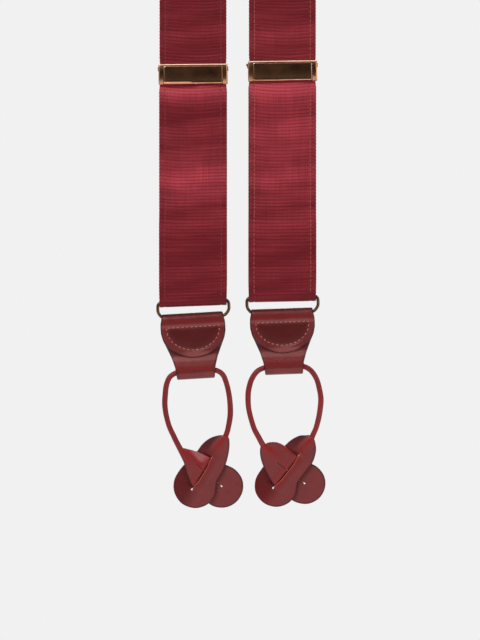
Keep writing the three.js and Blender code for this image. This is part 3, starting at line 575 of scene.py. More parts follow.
polished = brass_finish("polished_brass", tint(222, 168, 128), tint(176, 122, 84), 0.11)
pin_brass = brass_finish("pin_brass", tint(150, 104, 74), tint(84, 56, 40), 0.24)
# A pinker, rougher copy of the brass for the left lever's lifted roll: a painted highlight.
rosy = brass_finish("rosy_brass_roll", tint(232, 158, 128), tint(206, 132, 104), 0.3)
# A near-white copy of the brass for the brow: a painted highlight along the slide's top edge.
painted_highlight = brass_finish("burnished_brass_edge", tint(255, 226, 208), tint(240, 196, 170), 0.34)
for name, side in SIDES.items():
    at = (side * STRAP_X, -RAIL_R, CLIP_Z[name])
    tilt = CLIP_TILT[name]
    bodies = [placed(body, at, tilt) for body in slide_bodies()]
    slide = make_piece(f"{name}_adjuster_slide", bodies, polished)
    brow = make_piece(f"{name}_adjuster_brow", [placed(brow_loops(), at, tilt)], painted_highlight)
    for part in (slide, brow):
        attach(part, f"{name}_adjuster")
        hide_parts(f"{name}_adjuster_frame")
    lifted, pin_start = (1.0, -19.75) if name == "left" else (0.12, -20.3)
    lever = make_piece(f"{name}_adjuster_grip", [placed(lever_loops(lifted), at, tilt)], polished)
    lever.data.materials.append(rosy)
    flat = np.array([f.center for f in lever.data.polygons]) * 1000 - np.array(at)
    # Only the left lever's lifted roll gets the painted highlight copy.
    rolled = (flat[:, 2] < -10.2) & (flat[:, 1] < -3.5) & (flat[:, 0] < 1.0) & (name == "left")
    lever.data.polygons.foreach_set("material_index", rolled.astype(np.int32))
    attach(lever, f"{name}_lever")
    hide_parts(f"{name}_adjuster_lever")
    pin = make_piece(f"{name}_lever_pin", [placed(pin_loops(pin_start), at, tilt)], pin_brass)
    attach(pin, f"{name}_adjuster")
    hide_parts(f"{name}_adjuster_pin")

# ---- Rings --------------------------------------------------------------------------------
# Each loop of strap holds a flattened ring bent from antiqued brass wire, its join closed and
# hidden under the strap. Its lower bar carries the leather end.
END_PLACE = {"left": (-25, RING_Y, -518.4), "right": (25, RING_Y, -515.9), "back": (0, 11.65, -222)}
RING_TILT = {"left": np.radians(2.8), "right": np.radians(1.6), "back": np.radians(2.8)}
antique = brass_finish("antique_brass", tint(112, 82, 60), tint(52, 36, 28), 0.2)
RING_HALF = 19.95
corners = [(-RING_HALF, 0, 0), (RING_HALF, 0, 0), (RING_HALF, 0, -5.9), (17.2, 0, -9), (-17.2, 0, -9),
           (-RING_HALF, 0, -5.9)]
wire_path = eased(corners, [2.8, 2.8, 1.7, 1.7, 1.7, 1.7], closed=True)
wire_turn = np.linspace(0, 2 * np.pi, 16, endpoint=False)
wire = 0.86 * np.stack([np.cos(wire_turn), np.sin(wire_turn)], 1)
ring = carried(wire_path, wire, (0, 1, 0), closed=True)
for name, at in END_PLACE.items():
    hung = placed(ring, at, RING_TILT[name], name == "back")
    ring_piece = make_piece(f"{name}_wire_ring", [hung], antique, ring=True)
    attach(ring_piece, f"{name}_ring")
    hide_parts(f"{name}_ring")

# ---- Leather ends -------------------------------------------------------------------------
# One strap of oxblood calf, folded over the ring so that a D-shaped flap lies in front, taken
# down the back, round under the runner and up between the layers, and sewn through all three.
END_TILT = {"left": np.radians(3.4), "right": np.radians(2.0), "back": np.radians(3.4)}
END_SHIFT = {"left": -0.9, "right": -0.5, "back": -0.9}
FLAP_FOOT, FLAP_R, BAR_Z, TUNNEL_Z = -31.4, 20.56, -9.0, -40.1
ROW_Z, ROW_HALF, BOWL_Z, BOWL_DROP = -14.3, 14.8, -15.1, 12.1


def end_route():
    """Middle line of the folded leather as (y, z) every 0.1 mm from the flap's foot, made of
    straight runs and two half rounds, then smoothed over 1.3 mm, with its running length."""
    over = np.radians(np.linspace(180, 0, 24))
    under = np.radians(np.linspace(0, -180, 30))
    bar_turn = np.stack([1.85 * np.cos(over), BAR_Z + 1.85 * np.sin(over)], 1)
    cord_turn = np.stack([2.75 * np.cos(under), TUNNEL_Z + 2.85 * np.sin(under)], 1)
    inner = [(-2.75, -39.5), (-2.3, -36.5), (-1.35, -33.2), (-0.5, -30.6), (0, -27), (0, -18)]
    back = [(1.85, -31.3), (2.75, -37.2)]
    knots = np.concatenate([[(-1.85, FLAP_FOOT)], bar_turn, back, cord_turn, inner])
    run = np.concatenate([[0], np.cumsum(np.hypot(*np.diff(knots, axis=0).T))])
    s = np.arange(0, run[-1], 0.1)
    line = np.stack([np.interp(s, run, knots[:, 0]), np.interp(s, run, knots[:, 1])], 1)
    padded = np.concatenate([np.repeat(line[:1], 6, 0), line, np.repeat(line[-1:], 6, 0)])
    smooth = np.stack([np.convolve(padded[:, k], np.ones(13) / 13, "valid") for k in (0, 1)], 1)
    smooth[:7, 1], smooth[-7:, 1] = line[:7, 1], line[-7:, 1]
    return s, smooth


def leather_half(z):
    """Half the width of the leather at height z."""
    heights = [-43, -39.6, -36.4, -31.3, -26, -21, -17.5, -14, -11.5, -9.5, -7]
    return np.interp(z, heights, [10.6, 10.9, 11.5, 13, 15.2, 17.3, 18.1, 18.2, 18.0, 17.5, 17.1])


def sewn_d(pitch=2.55):
    """The sewn line of the flap as evenly spaced points and directions in (x, z), and the line
    itself: a straight row across the top and half an ellipse below it. Each stitch is turned a
    little off the line, by a seeded draw."""
    a = np.linspace(0, np.pi, 200)
    row = np.stack([np.linspace(-ROW_HALF, ROW_HALF, 120), np.full(120, ROW_Z)], 1)
    bowl = np.stack([ROW_HALF * np.cos(a), BOWL_Z - BOWL_DROP * np.sin(a)], 1)
    line = np.concatenate([row, bowl])
    run = np.concatenate([[0], np.cumsum(np.hypot(*np.diff(line, axis=0).T))])
    s = np.arange(pitch / 2, run[-1], pitch)
    points = np.stack([np.interp(s, run, line[:, k]) for k in (0, 1)], 1)
    ahead = np.stack([np.interp(s + 0.3, run, line[:, k]) for k in (0, 1)], 1) - points
    turned = 0.1 * np.random.default_rng(11).standard_normal(len(s))
    ahead = ahead / np.hypot(*ahead.T)[:, None]
    ahead = np.stack([ahead[:, 0] * np.cos(turned) - ahead[:, 1] * np.sin(turned),
                      ahead[:, 0] * np.sin(turned) + ahead[:, 1] * np.cos(turned)], 1)
    return points, ahead, line


def sewn_on(points, ahead, stitch, face_y, out):
    """Stitches laid on a flat face at depth face_y, each centred on one of the points and lying
    along its direction, with their round side toward out, -1 for forward and 1 for backward."""
    t, wide, high = stitch
    centre, way = points[:, None, None], ahead[:, None, None]
    aside = np.stack([-way[..., 1], way[..., 0]], -1)
    flat = centre + way * t[..., None] + aside * wide[..., None]
    return np.stack([flat[..., 0], face_y + out * high + 0 * flat[..., 0], flat[..., 1]], -1)


def leather_loops():
    """The folded leather as loops. Across, points crowd toward the edges; the thickness rounds off
    within 0.65 mm of the cut rim, sinks along the sewn D and swells a little beside it. Gives the
    loops and, for the finish, the distance from the rim in mm, how much darker it is, up to 1
    inside the D and 2 for painted shade on the fold over the ring, and how red it is: painted red
    bands, and below nought where painted highlight bands and a painted highlight low on the flap's
    rim make it pale."""
    s, line = end_route()
    near = 7 * (1 - np.cos(np.linspace(0, np.pi / 2, 30)))
    far = np.arange(near[-1] + 0.6, s[-1], 0.7)
    rows = np.concatenate([near, far])
    y, z = np.interp(rows, s, line[:, 0]), np.interp(rows, s, line[:, 1])
    way = np.gradient(line, axis=0)
    way = way / np.hypot(*way.T)[:, None]
    out_y, out_z = -np.interp(rows, s, way[:, 1]), np.interp(rows, s, way[:, 0])
    flap = rows < BAR_Z - FLAP_FOOT
    in_round = np.sqrt(np.clip(FLAP_R ** 2 - (z - FLAP_FOOT - FLAP_R) ** 2, 0.3, None))
    half = np.where(flap & (z < FLAP_FOOT + FLAP_R), np.minimum(leather_half(z), in_round), leather_half(z))
    half = np.where(rows > s[-1] - 20, half - 0.3, half)[:, None]
    v = np.sin(np.linspace(-np.pi / 2, np.pi / 2, 27))
    v = np.sign(v) * np.abs(v) ** 0.8
    u = np.concatenate([v, v[-2:0:-1]])[None] * half
    face = sides(25) + 0 * u
    from_rim = half - np.abs(u)
    round_rim = FLAP_R - np.hypot(u, (z - FLAP_FOOT - FLAP_R)[:, None])
    lower = (flap & (z < FLAP_FOOT + 12))[:, None]
    from_rim = np.where(lower, np.minimum(from_rim, np.maximum(round_rim, 0)), from_rim)
    plump = rounded_over(from_rim, 0.65)
    d_line = sewn_d()[2]
    flat = np.stack([u, z[:, None] + 0 * u], -1)
    gap = np.sqrt(((flat[:, :, None, :] - d_line[None, None, ::3]) ** 2).sum(-1).min(2))
    sewn = np.exp(-((gap / 0.7) ** 2)) * ((face > 0) * flap[:, None] * 1.0)
    back_run = (~flap & (rows < s[-1] - 34))[:, None] * (face > 0) * np.exp(-((gap / 0.7) ** 2)) * 0.7
    in_bowl = (u / ROW_HALF) ** 2 + ((z[:, None] - BOWL_Z) / BOWL_DROP) ** 2 < 1
    inside = (z[:, None] < ROW_Z) & in_bowl & flap[:, None]
    puff = 0.28 * inside * np.clip(gap / 4, 0, 1) + 0.4 * (flap[:, None] & ~inside) * np.clip(gap / 2, 0, 1)
    off = face * (0.7 * plump) - 0.24 * sewn - 0.2 * back_run + puff * np.clip(from_rim / 2.5, 0, 1)
    loops = np.stack([u, y[:, None] + out_y[:, None] * off, z[:, None] + out_z[:, None] * off], -1)
    inner = np.where(flap[:, None], inside * np.clip(gap / 1.2, 0, 1), 0)
    # Painted shade on the top of the fold over the ring.
    inner = np.maximum(inner, 2 * hump(z, BAR_Z + 1.2, BAR_Z + 9, 1.2)[:, None])
    # Painted light in bands across the leather: redder bands, paler painted highlight bands, and a painted
    # highlight low on the flap's rim.
    ruddy = hump(z, -12.6, -10.2, 1.0) * flap + 1.1 * hump(z, -39.4, -34.4, 1.8) * ~flap
    pale_highlight = 0.9 * hump(z, -14.6, -12.4, 1.0) * flap
    pale_highlight = pale_highlight + (0.8 * hump(z, -34, -30.5, 1.6) + 0.4 * hump(z, -45, -39.8, 1.6)) * ~flap
    lit = 1.7 * hump(z[:, None], -40, -28.4, 1.0) * np.exp(-((u - 2) / 7) ** 2) * flap[:, None]
    return loops, np.stack([from_rim, inner + 0 * u, (ruddy - pale_highlight)[:, None] - lit + 0 * u], -1)


def calf_finish(name, body, deep, pale, rim_dark_and_shade, rough, further=()):
    """Smooth calf: fine pores and soft creases in the bump, mottled dye, a darker rim, dyed and
    polished at the cut edge, where the attribute tan's first value, the distance from the cut edge
    in mm, is small, and deeper, then the rim's dark colour as its second value goes from 0 to 1 and
    on to 2; on the leather ends that dark colour is painted shade on the fold. Each further wash of
    colour is one value of tan, the two levels between which it comes in, its strength and colour."""
    made, tree, shader = new_finish(name, Specular_IOR_Level=0.36, Specular_Tint=(1.0, 0.62, 0.6, 1.0),
                                    Coat_Weight=0.05, Coat_Roughness=0.2)
    place = put(tree, "TexCoord").outputs["Object"]
    split = put(tree, "SeparateXYZ", {0: put(tree, "Attribute", attribute_name="tan").outputs["Vector"]})
    mottle = put(tree, "TexNoise", {"Vector": place, "Scale": 170.0, "Detail": 5.0}).outputs[0]
    broad = put(tree, "TexNoise", {"Vector": place, "Scale": 48.0, "Detail": 2.0}).outputs[0]
    cells = put(tree, "TexVoronoi", {"Vector": place, "Scale": 1700.0}, feature="DISTANCE_TO_EDGE")
    pores = spread(tree, cells.outputs[0], 0.0, 0.12)
    grain = put(tree, "TexNoise", {"Vector": place, "Scale": 900.0, "Detail": 4.0}).outputs[0]
    colour = dye(tree, spread(tree, mottle, 0.38, 0.72, 0.0, 0.55), body, deep)
    colour = dye(tree, spread(tree, broad, 0.5, 0.72, 0.0, 0.28), colour, pale)
    colour = dye(tree, spread(tree, split.outputs["Y"], 0.0, 1.0, 0.0, 0.75), colour, deep)
    colour = dye(tree, spread(tree, split.outputs["Y"], 1.0, 2.0, 0.0, 0.8), colour, rim_dark_and_shade)
    colour = dye(tree, spread(tree, split.outputs["X"], 1.1, 0.35), colour, rim_dark_and_shade)
    for value, low, high, strength, wash in further:
        colour = dye(tree, spread(tree, split.outputs[value], low, high, 0.0, strength), colour, wash)
    tree.links.new(colour, shader.inputs["Base Color"])
    tree.links.new(spread(tree, mottle, 0.3, 0.75, rough * 0.85, rough * 1.25), shader.inputs["Roughness"])
    pitted = put(tree, "Bump", {"Height": pores, "Strength": 0.22, "Distance": 0.00006}).outputs[0]
    bump = put(tree, "Bump", {"Height": grain, "Strength": 0.3, "Distance": 0.0001, "Normal": pitted})
    tree.links.new(bump.outputs[0], shader.inputs["Normal"])
    return made


# Dark rim colour; on the leather ends it also paints the shade on the top of the fold.
DARK_RIM_AND_SHADE = tint(38, 12, 16)
calf = calf_finish("oxblood_calf", tint(112, 36, 36), tint(74, 12, 15), tint(128, 62, 60), DARK_RIM_AND_SHADE, 0.34)
# On the ends, the redder wash paints red bands and the paler wash paints highlights.
folded_calf = calf_finish("folded_calf", tint(106, 36, 36), tint(66, 8, 10), tint(126, 62, 60),
                          DARK_RIM_AND_SHADE, 0.34, further=(("Z", 0.0, 1.0, 0.6, tint(112, 20, 22)),
                                                    ("Z", 0.0, -1.0, 0.6, tint(136, 74, 72))))
end_thread = thread_finish("pale_end_thread", tint(198, 140, 128), tint(128, 72, 68))
for name, at in END_PLACE.items():
    loops, tan = leather_loops()
    shift = np.array([END_SHIFT[name], 0, 0])
    turned = name == "back"
    hung = placed(loops + shift, at, END_TILT[name], turned)
    leather = make_piece(f"{name}_folded_leather", [hung], folded_calf, marks={"tan": tan})
    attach(leather, f"{name}_end")
    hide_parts(f"{name}_end_leather")
    points, ahead, _ = sewn_d()
    stitch = stitch_lengths(1.7, 0.22)
    bodies = [placed(one + shift, at, END_TILT[name], turned) for face_y, out in ((-2.42, -1), (2.5, 1))
              for one in sewn_on(points, ahead, stitch, face_y, out)]
    sewing = make_piece(f"{name}_end_sewing", bodies, end_thread)
    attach(sewing, f"{name}_end")
    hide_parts(f"{name}_end_stitching")

# ---- Runners ------------------------------------------------------------------------------
# A runner is a strip of the same calf rolled and cemented into a round cord. It slides through
# the tunnel of the leather end, and each of its ends is left unrolled as a flat button tab.
LEFT_ROUTE = [[-8.1, -2.3, -81], [-10.8, -1.9, -75.6], [-13.4, -1.2, -69.9], [-15.1, -0.5, -63.5],
              [-15.8, 0, -57.9], [-15.6, 0, -52.8], [-14.9, 0, -47.1], [-13, 0, -42.6], [-9.6, 0, -40.3],
              [-7, 0, -40.05], [2.35, 0, -39.5], [11, 0, -38.99], [13.6, 0, -38.95], [16.8, 0, -41.4],
              [18.9, 0, -46.7], [20.2, 0, -52.8], [20.8, 0, -58.5], [20.8, 0, -64.2], [19.9, 0, -69.9],
              [18.8, 0, -74.2]]
RIGHT_ROUTE = [[-11.7, -2.3, -81.6], [-13.3, -2.1, -78.6], [-15.7, -1.5, -74.1], [-17.7, -0.7, -67.8],
               [-18.9, 0, -62.1], [-19.2, 0, -56.4], [-18.8, 0, -51.9], [-17.2, 0, -46.4], [-14.2, 0, -42],
               [-10.5, 0, -40], [-8, 0, -39.9], [1.38, 0, -39.58], [10.2, 0, -39.27], [12.7, 0, -39.3],
               [16.2, 0, -41.6], [19.2, 0, -46.2], [20.8, 0, -51.9], [21.6, 0, -57], [21.3, 0, -62.1],
               [20.4, 0, -67.8], [18.9, 0, -73.5], [17.4, 0, -77]]


def cubics(p, steps):
    """The cubics that join the inner points of p, steps points on each. A cubic's slope at either
    end is half the way from the point before that end to the point after it."""
    t = np.linspace(0, 1, steps, endpoint=False)[None, :, None]
    a, b, c, d = (p[k:len(p) - 3 + k, None] for k in range(4))
    twice = 2 * b + (c - a) * t + (2 * a - 5 * b + 4 * c - d) * t ** 2 + (3 * b - a - 3 * c + d) * t ** 3
    return (0.5 * twice).reshape(-1, p.shape[1])


def flowing(points, count):
    """A smooth curve of cubics through points, as count points spaced evenly by length, and its
    length."""
    p = np.array(points, float)
    p = np.concatenate([2 * p[:1] - p[1:2], p, 2 * p[-1:] - p[-2:-1]])
    line = np.concatenate([cubics(p, 16), p[-2:-1]])
    run = np.concatenate([[0], np.cumsum(np.linalg.norm(np.diff(line, axis=0), axis=1))])
    s = np.linspace(0, run[-1], count)
    return np.stack([np.interp(s, run, line[:, k]) for k in range(p.shape[1])], 1), run[-1]


def runner_loops(route, ends):
    """The rolled cord: round, with one cemented seam, hardly varying in thickness, widening over
    its last 11 mm and flattening over its last 6 mm into an end that lies in its tab. The finish
    sees no cut rim and no deeper dye anywhere on it."""
    line, length = flowing([ends[0], *route, ends[1]], 240)
    s = np.linspace(0, length, 240)
    way = np.gradient(line, axis=0)
    way = way / np.linalg.norm(way, axis=1, keepdims=True)
    side = np.cross(way, np.array([0, 1.0, 0]))
    side = side / np.linalg.norm(side, axis=1, keepdims=True)
    depth = np.cross(side, way)
    from_end = np.minimum(s, length - s)
    opened = (np.clip(1 - from_end / 11, 0, 1) ** 1.7)[:, None]
    turn = np.linspace(0, 2 * np.pi, 28, endpoint=False)[None]
    radius = 1.52 + 0.05 * np.sin(s / 5.1)[:, None] - 0.2 * np.exp(-((turn - 4.1) / 0.14) ** 2)
    sunk = np.clip(1 - from_end / 6, 0, 1)[:, None]
    wide = radius * (1 + 0.3 * opened) * np.cos(turn)
    thick = radius * (1 - 0.25 * opened) * (1 - 0.85 * sunk) * np.sin(turn)
    loops = line[:, None] + side[:, None] * wide[..., None] + depth[:, None] * thick[..., None]
    return loops, np.stack([4 + 0 * wide, 0 * wide, 0 * wide], -1)


rolled_calf = calf_finish("rolled_calf", tint(128, 33, 35), tint(98, 22, 25), tint(152, 58, 56),
                          tint(60, 14, 16), 0.33)
RUNNERS = {"left": (LEFT_ROUTE, [(-3.4, -2.0, -89.5), (15.6, 0.1, -82)]),
           "right": (RIGHT_ROUTE, [(-7.4, -2.0, -89), (14.0, 0.1, -84.5)])}
RUNNERS["back"] = RUNNERS["left"]
for name, (route, ends) in RUNNERS.items():
    loops, tan = runner_loops(route, ends)
    hung = placed(loops, END_PLACE[name], 0, name == "back")
    cord = make_piece(f"{name}_rolled_runner", [hung], rolled_calf, marks={"tan": tan})
    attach(cord, f"{name}_runner")
    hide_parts(f"{name}_runner_cord")

# ---- Button tabs --------------------------------------------------------------------------
# The flat ends of a runner, cut with a buttonhole that ends in a punched eye. One tab is pushed
# through the buttonhole of the other, so that they cross and lie flat over two buttons.
LEFT_TABS = {
    "slit": [(10.6, -87.2), (-0.7, -105.5)],
    "hole": [(1.9, -91.1), (16, -103.8)],
    "slotted": [(19.9, -76.3), (20.4, -81.5), (19.4, -87.7), (17.2, -94.4), (13.4, -101.5), (12.3, -108.7),
                (8.2, -113.8), (1.2, -116), (-6.2, -113.5), (-10.4, -107.4), (-10.6, -100.5), (-7.2, -94.2),
                (-2.2, -88.7), (2.3, -83.9), (5.3, -80), (9.2, -76.9), (13.3, -75.4), (16.6, -75.1)],
    "threaded": [(-5.9, -82.3), (-3.1, -82.7), (2.3, -84.2), (8.8, -87.2), (16.5, -90.9), (23.3, -94.2),
                 (27.5, -99.8), (27.8, -106.6), (24.3, -112.6), (18.2, -115.7), (11.3, -115), (5.6, -110.8),
                 (1.9, -106.6), (-0.8, -102.8), (-3.5, -96.7), (-5.1, -90.6), (-7.6, -84.6)],
    "slotted_flow": [(18.6, -75), (8.5, -89)],
    "threaded_flow": [(-8.0, -81.5), (3.4, -94.5)],
    "end_red_shade": 0.15, "highlight_edge": 0.8}
RIGHT_TABS = {
    "slit": [(9.8, -88), (-5.2, -107.2)],
    "hole": [(-2.7, -93), (12.5, -104.7)],
    "slotted": [(17.6, -78.9), (18.9, -84.3), (18.5, -88.6), (16.6, -93.6), (12, -99.8), (8.6, -104.6),
                (7.4, -110.8), (3.2, -115.8), (-3.5, -117.8), (-10.4, -115.6), (-14.9, -109.8),
                (-15.1, -102.8), (-12, -97), (-7.5, -91.5), (-2.8, -87), (1.6, -83.2), (5, -80.2),
                (9.4, -77.9), (13, -77.6), (15.8, -77.6)],
    "threaded": [(-9.5, -82.3), (-6.6, -81.4), (-2.6, -81.6), (1.3, -83.5), (5.6, -87), (11.5, -91.3),
                 (19.4, -95.3), (23.6, -100.9), (23.9, -107.4), (20.6, -113.1), (14.4, -116.2),
                 (7.4, -115.2), (1.2, -111), (-3.2, -107), (-6.2, -103.2), (-9, -98.6), (-11.4, -93),
                 (-12.5, -88), (-12.1, -83.8)],
    "slotted_flow": [(17, -78.5), (6.5, -91)],
    "threaded_flow": [(-11.6, -82), (2.5, -92.5)],
    "end_red_shade": 0.6, "highlight_edge": 4.0}
TABS = {"left": LEFT_TABS, "right": RIGHT_TABS, "back": LEFT_TABS}


def from_line(x, z, ends):
    """Distance along a line from its first end, and across it, positive on the left of its way, and
    the line's length."""
    (x0, z0), (x1, z1) = ends
    length = np.hypot(x1 - x0, z1 - z0)
    dx, dz = (x1 - x0) / length, (z1 - z0) / length
    return (x - x0) * dx + (z - z0) * dz, -((x - x0) * dz - (z - z0) * dx), length


def tab_loops(outline, hole, opened, lift):
    """A flat piece with a buttonhole, as loops that run round it. Each loop goes from the hole's
    rim over the front to the outer rim and back behind. The hole's rim lies opened mm to either
    side of its line and widens to a round eye at its far end. lift(x, z) gives the piece's depth,
    how red or pale its painted light makes it, and how dark its painted shade is. With the loops come,
    for the finish, the distance from the outer rim in mm, the painted redness and paleness, and the
    raw lip of an open hole less the painted shade."""
    rim = cubics(np.array([outline[-1], *outline, outline[0], outline[1]], float), 12)
    ringed = np.concatenate([rim, rim[:1]])
    run = np.concatenate([[0], np.cumsum(np.hypot(*np.diff(ringed, axis=0).T))])
    s = np.linspace(0, run[-1], 260, endpoint=False)
    rim = np.stack([np.interp(s, run, ringed[:, k]) for k in (0, 1)], 1)
    along, _, length = from_line(rim[:, 0], rim[:, 1], hole)
    along = np.clip(along, 0, length)
    start, stop = np.array(hole[0]), np.array(hole[1])
    base = start + (stop - start) * (along / length)[:, None]
    way = (rim - base) / np.linalg.norm(rim - base, axis=1, keepdims=True)
    eye = np.clip(1 - (length - along) / 0.9, 0, 1)[:, None]
    gape = (0.01 + opened * hump(along, 4.8, length - 4.4, 4.4))[:, None]
    inner = base + way * (gape + (0.44 - gape) * eye)
    reach = np.linalg.norm(rim - inner, axis=1, keepdims=True)
    near = np.array([[0, 0.05, 0.15, 0.32, 0.5]])
    steps = np.concatenate([near + 0 * reach, 0.5 + (reach - 1.1) * np.linspace(0.06, 0.94, 16)[None],
                            reach - near[:, ::-1] * 1.2], 1)
    d_in = np.concatenate([steps, steps[:, -2:0:-1]], 1)
    m = steps.shape[1]
    front = sides(m - 2)
    d_out = reach - d_in
    half = 0.88 * rounded_over(d_out, 0.6, 0.003) * rounded_over(d_in, 0.12 + 0.3 * opened, 0.003)
    flat = inner[:, None] + (rim - inner)[:, None] * (d_in / reach)[..., None]
    y, bend, end_dark_shade = lift(flat[..., 0], flat[..., 1])
    loops = np.stack([flat[..., 0], y - front * half, flat[..., 1]], -1)
    across = from_line(flat[..., 0], flat[..., 1], hole)[1]
    raw = np.exp(-((d_in / 0.5) ** 2)) * (across > 0) * (opened > 0.5) + 0 * front
    return loops, np.stack([d_out, bend, raw - end_dark_shade], -1)


def slotted_lift(tabs, joint, toward, end_red_shade):
    """Depth of the tab whose slit the other is pushed through: flat, the slit's right lip raised
    forward and its left lip pressed back, a fading ridge where the runner opens into it, and the
    corner beyond that ridge turned up. Also gives its painted light: redder where it bends and on the
    raised lip, redder painted shade on its round end by the last argument, painted shade on the
    corner beyond the ridge below nought, and the darker painted shade of that round end."""
    def lift(x, z):
        along, across, length = from_line(x, z, tabs["slit"])
        held = hump(along, 0.4, length - 1.2, 3)
        s, n, reach = from_line(x, z, [joint, toward])
        fade = np.clip(1 - s / reach, 0, 1) * np.clip(1 + s / 3, 0, 1)
        ridge = fade * np.exp(-((n / (1.5 + 0.16 * np.maximum(s, 0))) ** 2))
        curl = -np.clip(-n - 1, 0, 9) ** 1.2 * 0.02 * np.clip(1.2 - s / reach, 0, 1)
        raised, pressed = -0.95 * np.exp(-((across / 4.5) ** 2)), 0.75 * np.exp(-((across / 5) ** 2))
        y = held * np.where(across > 0, raised, pressed) - ridge + curl * hump(s, -6, reach * 1.2, 5)
        # Painted light: redder where the tab bends and along the slit's raised lip.
        bend = np.clip(ridge * 1.2 + 0.6 * np.exp(-((across / 3) ** 2)) * held * (across > 0), 0, 1)
        # Painted shade on the corner beyond the ridge.
        shade = np.clip(-n / 3 - 0.5, 0, 1) * hump(s, -6, reach * 0.8, 6)
        # Painted shade on the round end: redder by the last argument and darker by the third value.
        disc = hump(s, reach * 0.7, 60, 10) * np.clip(0.75 - across / 7, 0, 1) * (1 - bend)
        return y, bend - shade + end_red_shade * disc, 0.75 * disc
    return lift


def threaded_lift(tabs, joint, toward, edge):
    """Depth of the tab that passes through: in front on one side of the slit, a steady curve through
    it, and behind on the other side, with the same ridge from the runner and a curled top edge,
    which gets a pale painted highlight from edge mm above the ridge upward. Also gives how red it is
    painted along the ridge and beside the slit; it gets no darker painted shade anywhere."""
    def lift(x, z):
        _, across, _ = from_line(x, z, tabs["slit"])
        y = 2.3 * np.tanh((across - 0.35) / 1.35)
        s, n, reach = from_line(x, z, [joint, toward])
        fade = np.clip(1 - s / reach, 0, 1) * np.clip(1 + s / 3, 0, 1)
        ridge = fade * np.exp(-(((n + 0.2) / (1.5 + 0.17 * np.maximum(s, 0))) ** 2))
        curl = np.clip(n - 1.0, 0, 6) ** 1.25 * 0.2 * np.clip(1 - s / (0.75 * reach), 0, 1)
        # Painted light: redder along the ridge and beside the slit.
        bend = np.clip(ridge * 1.25 + 0.5 * np.exp(-((across + 1.5) / 2.0) ** 2), 0, 1) * (across < 1)
        # Painted highlight on the curled top edge.
        top_highlight = np.clip((n - edge) / 3.5, 0, 1) * hump(s, 3.5, 0.92 * reach, 6) * (across < 0)
        return y + (across < 0) * (curl - 0.7 * ridge), bend + (1.75 - bend) * top_highlight, 0 * s
    return lift


# Unrolled calf is painted paler where it lies flat and redder where it is bent, for the light on
# it, with a pale painted highlight on its curled top edge, painted shade in its tucked corners and
# on the slotted tab's round end, and raw tan along the lips of the open buttonhole.
flat_calf = calf_finish("flat_calf", tint(116, 50, 50), tint(104, 42, 43), tint(126, 64, 62),
                        tint(66, 24, 28), 0.4, further=(("Y", 0.05, 0.9, 1.0, tint(132, 25, 27)),
                                                        ("Y", 1.0, 1.75, 0.7, tint(158, 100, 102)),
                                                        ("Y", 0.0, -1.0, 0.8, tint(58, 14, 22)),
                                                        ("Z", 0.0, -0.75, 0.85, tint(80, 12, 15)),
                                                        ("Z", 0.25, 0.8, 0.9, tint(196, 120, 84))))
for name, tabs in TABS.items():
    slotted_shape = slotted_lift(tabs, *tabs["slotted_flow"], tabs["end_red_shade"])
    threaded_shape = threaded_lift(tabs, *tabs["threaded_flow"], tabs["highlight_edge"])
    slotted = tab_loops(tabs["slotted"], tabs["slit"], 0.75, slotted_shape)
    threaded = tab_loops(tabs["threaded"], tabs["hole"], 0.0, threaded_shape)
    for kind, (loops, tan) in (("slotted", slotted), ("threaded", threaded)):
        hung = placed(loops, END_PLACE[name], 0, name == "back")
        tab = make_piece(f"{name}_{kind}_button_tab", [hung], flat_calf, ring=True, marks={"tan": tan})
        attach(tab, f"{name}_runner")
        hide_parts(f"{name}_{kind}_tab")

# ---- Back patch ---------------------------------------------------------------------------
# Two yokes of the same calf, cut alike, with the crossed straps and the top of the elastic
# between them, sewn together near the edge. Their rims are burnished dark.
PATCH_FOOT = -122
PATCH_MIDDLE = (PATCH_TOP + PATCH_FOOT) / 2
SEWN_IN = 0.92


def patch_side():
    """Half the patch's width against height: a rounded shoulder, a slightly hollow flank and a
    narrow foot, drawn with four curves."""
    def curve(*p):
        t = np.linspace(0, 1, 30)[:, None]
        p = np.array(p, float)
        if len(p) == 3:
            return p[0] * (1 - t) ** 2 + 2 * p[1] * t * (1 - t) + p[2] * t ** 2
        ends = p[0] * (1 - t) ** 3 + p[3] * t ** 3
        return ends + 3 * p[1] * t * (1 - t) ** 2 + 3 * p[2] * t ** 2 * (1 - t)
    return np.concatenate([curve((36, PATCH_TOP), (40, PATCH_TOP), (39.6, -54)),
                           curve((39.6, -54), (38.5, -66), (37.5, -84), (34.5, -94)),
                           curve((34.5, -94), (31, -104), (21, -106), (20.5, -118)),
                           curve((20.5, -118), (20.3, PATCH_FOOT), (16.5, PATCH_FOOT))])


def patch_loops(face_y, out):
    """One yoke: rows down its height, its thickness rounded off within 0.8 mm of the rim, a sewn
    groove along the stitching, and a faint rise where the two straps lie beneath."""
    side = patch_side()
    z = PATCH_MIDDLE + (PATCH_TOP - PATCH_MIDDLE) * np.sin(np.linspace(np.pi / 2, -np.pi / 2, 110))
    half = np.interp(-z, -side[:, 1], side[:, 0])[:, None]
    z = z[:, None]
    v = np.sin(np.linspace(-np.pi / 2, np.pi / 2, 61))
    u = np.concatenate([v, v[-2:0:-1]])[None] * half
    face = sides(59)
    flat = np.stack([u, z + 0 * u], -1)
    near = np.sqrt(((flat[:, :, None] - patch_outline[None, None]) ** 2).sum(-1).min(2))
    rim = np.minimum(near, np.minimum(np.maximum(PATCH_TOP - z, 0), np.maximum(z - PATCH_FOOT, 0)))
    plump = rounded_over(rim, 0.8)
    gap = np.sqrt(((flat[:, :, None] - sewn_line[None, None]) ** 2).sum(-1).min(2))
    lane = STRAP_X - LEAN * (-z - 3.6)
    rise = 0.22 * hump(np.abs(np.abs(u) - lane), -30, 18, 4) * np.clip(rim / 8, 0, 1)
    off = face * 0.68 * plump + (face > 0) * (rise - 0.22 * np.exp(-((gap / 0.6) ** 2)))
    loops = np.stack([u, face_y + out * off, z + 0 * u], -1)
    return loops, np.stack([rim, 0 * rim, 0 * rim], -1)


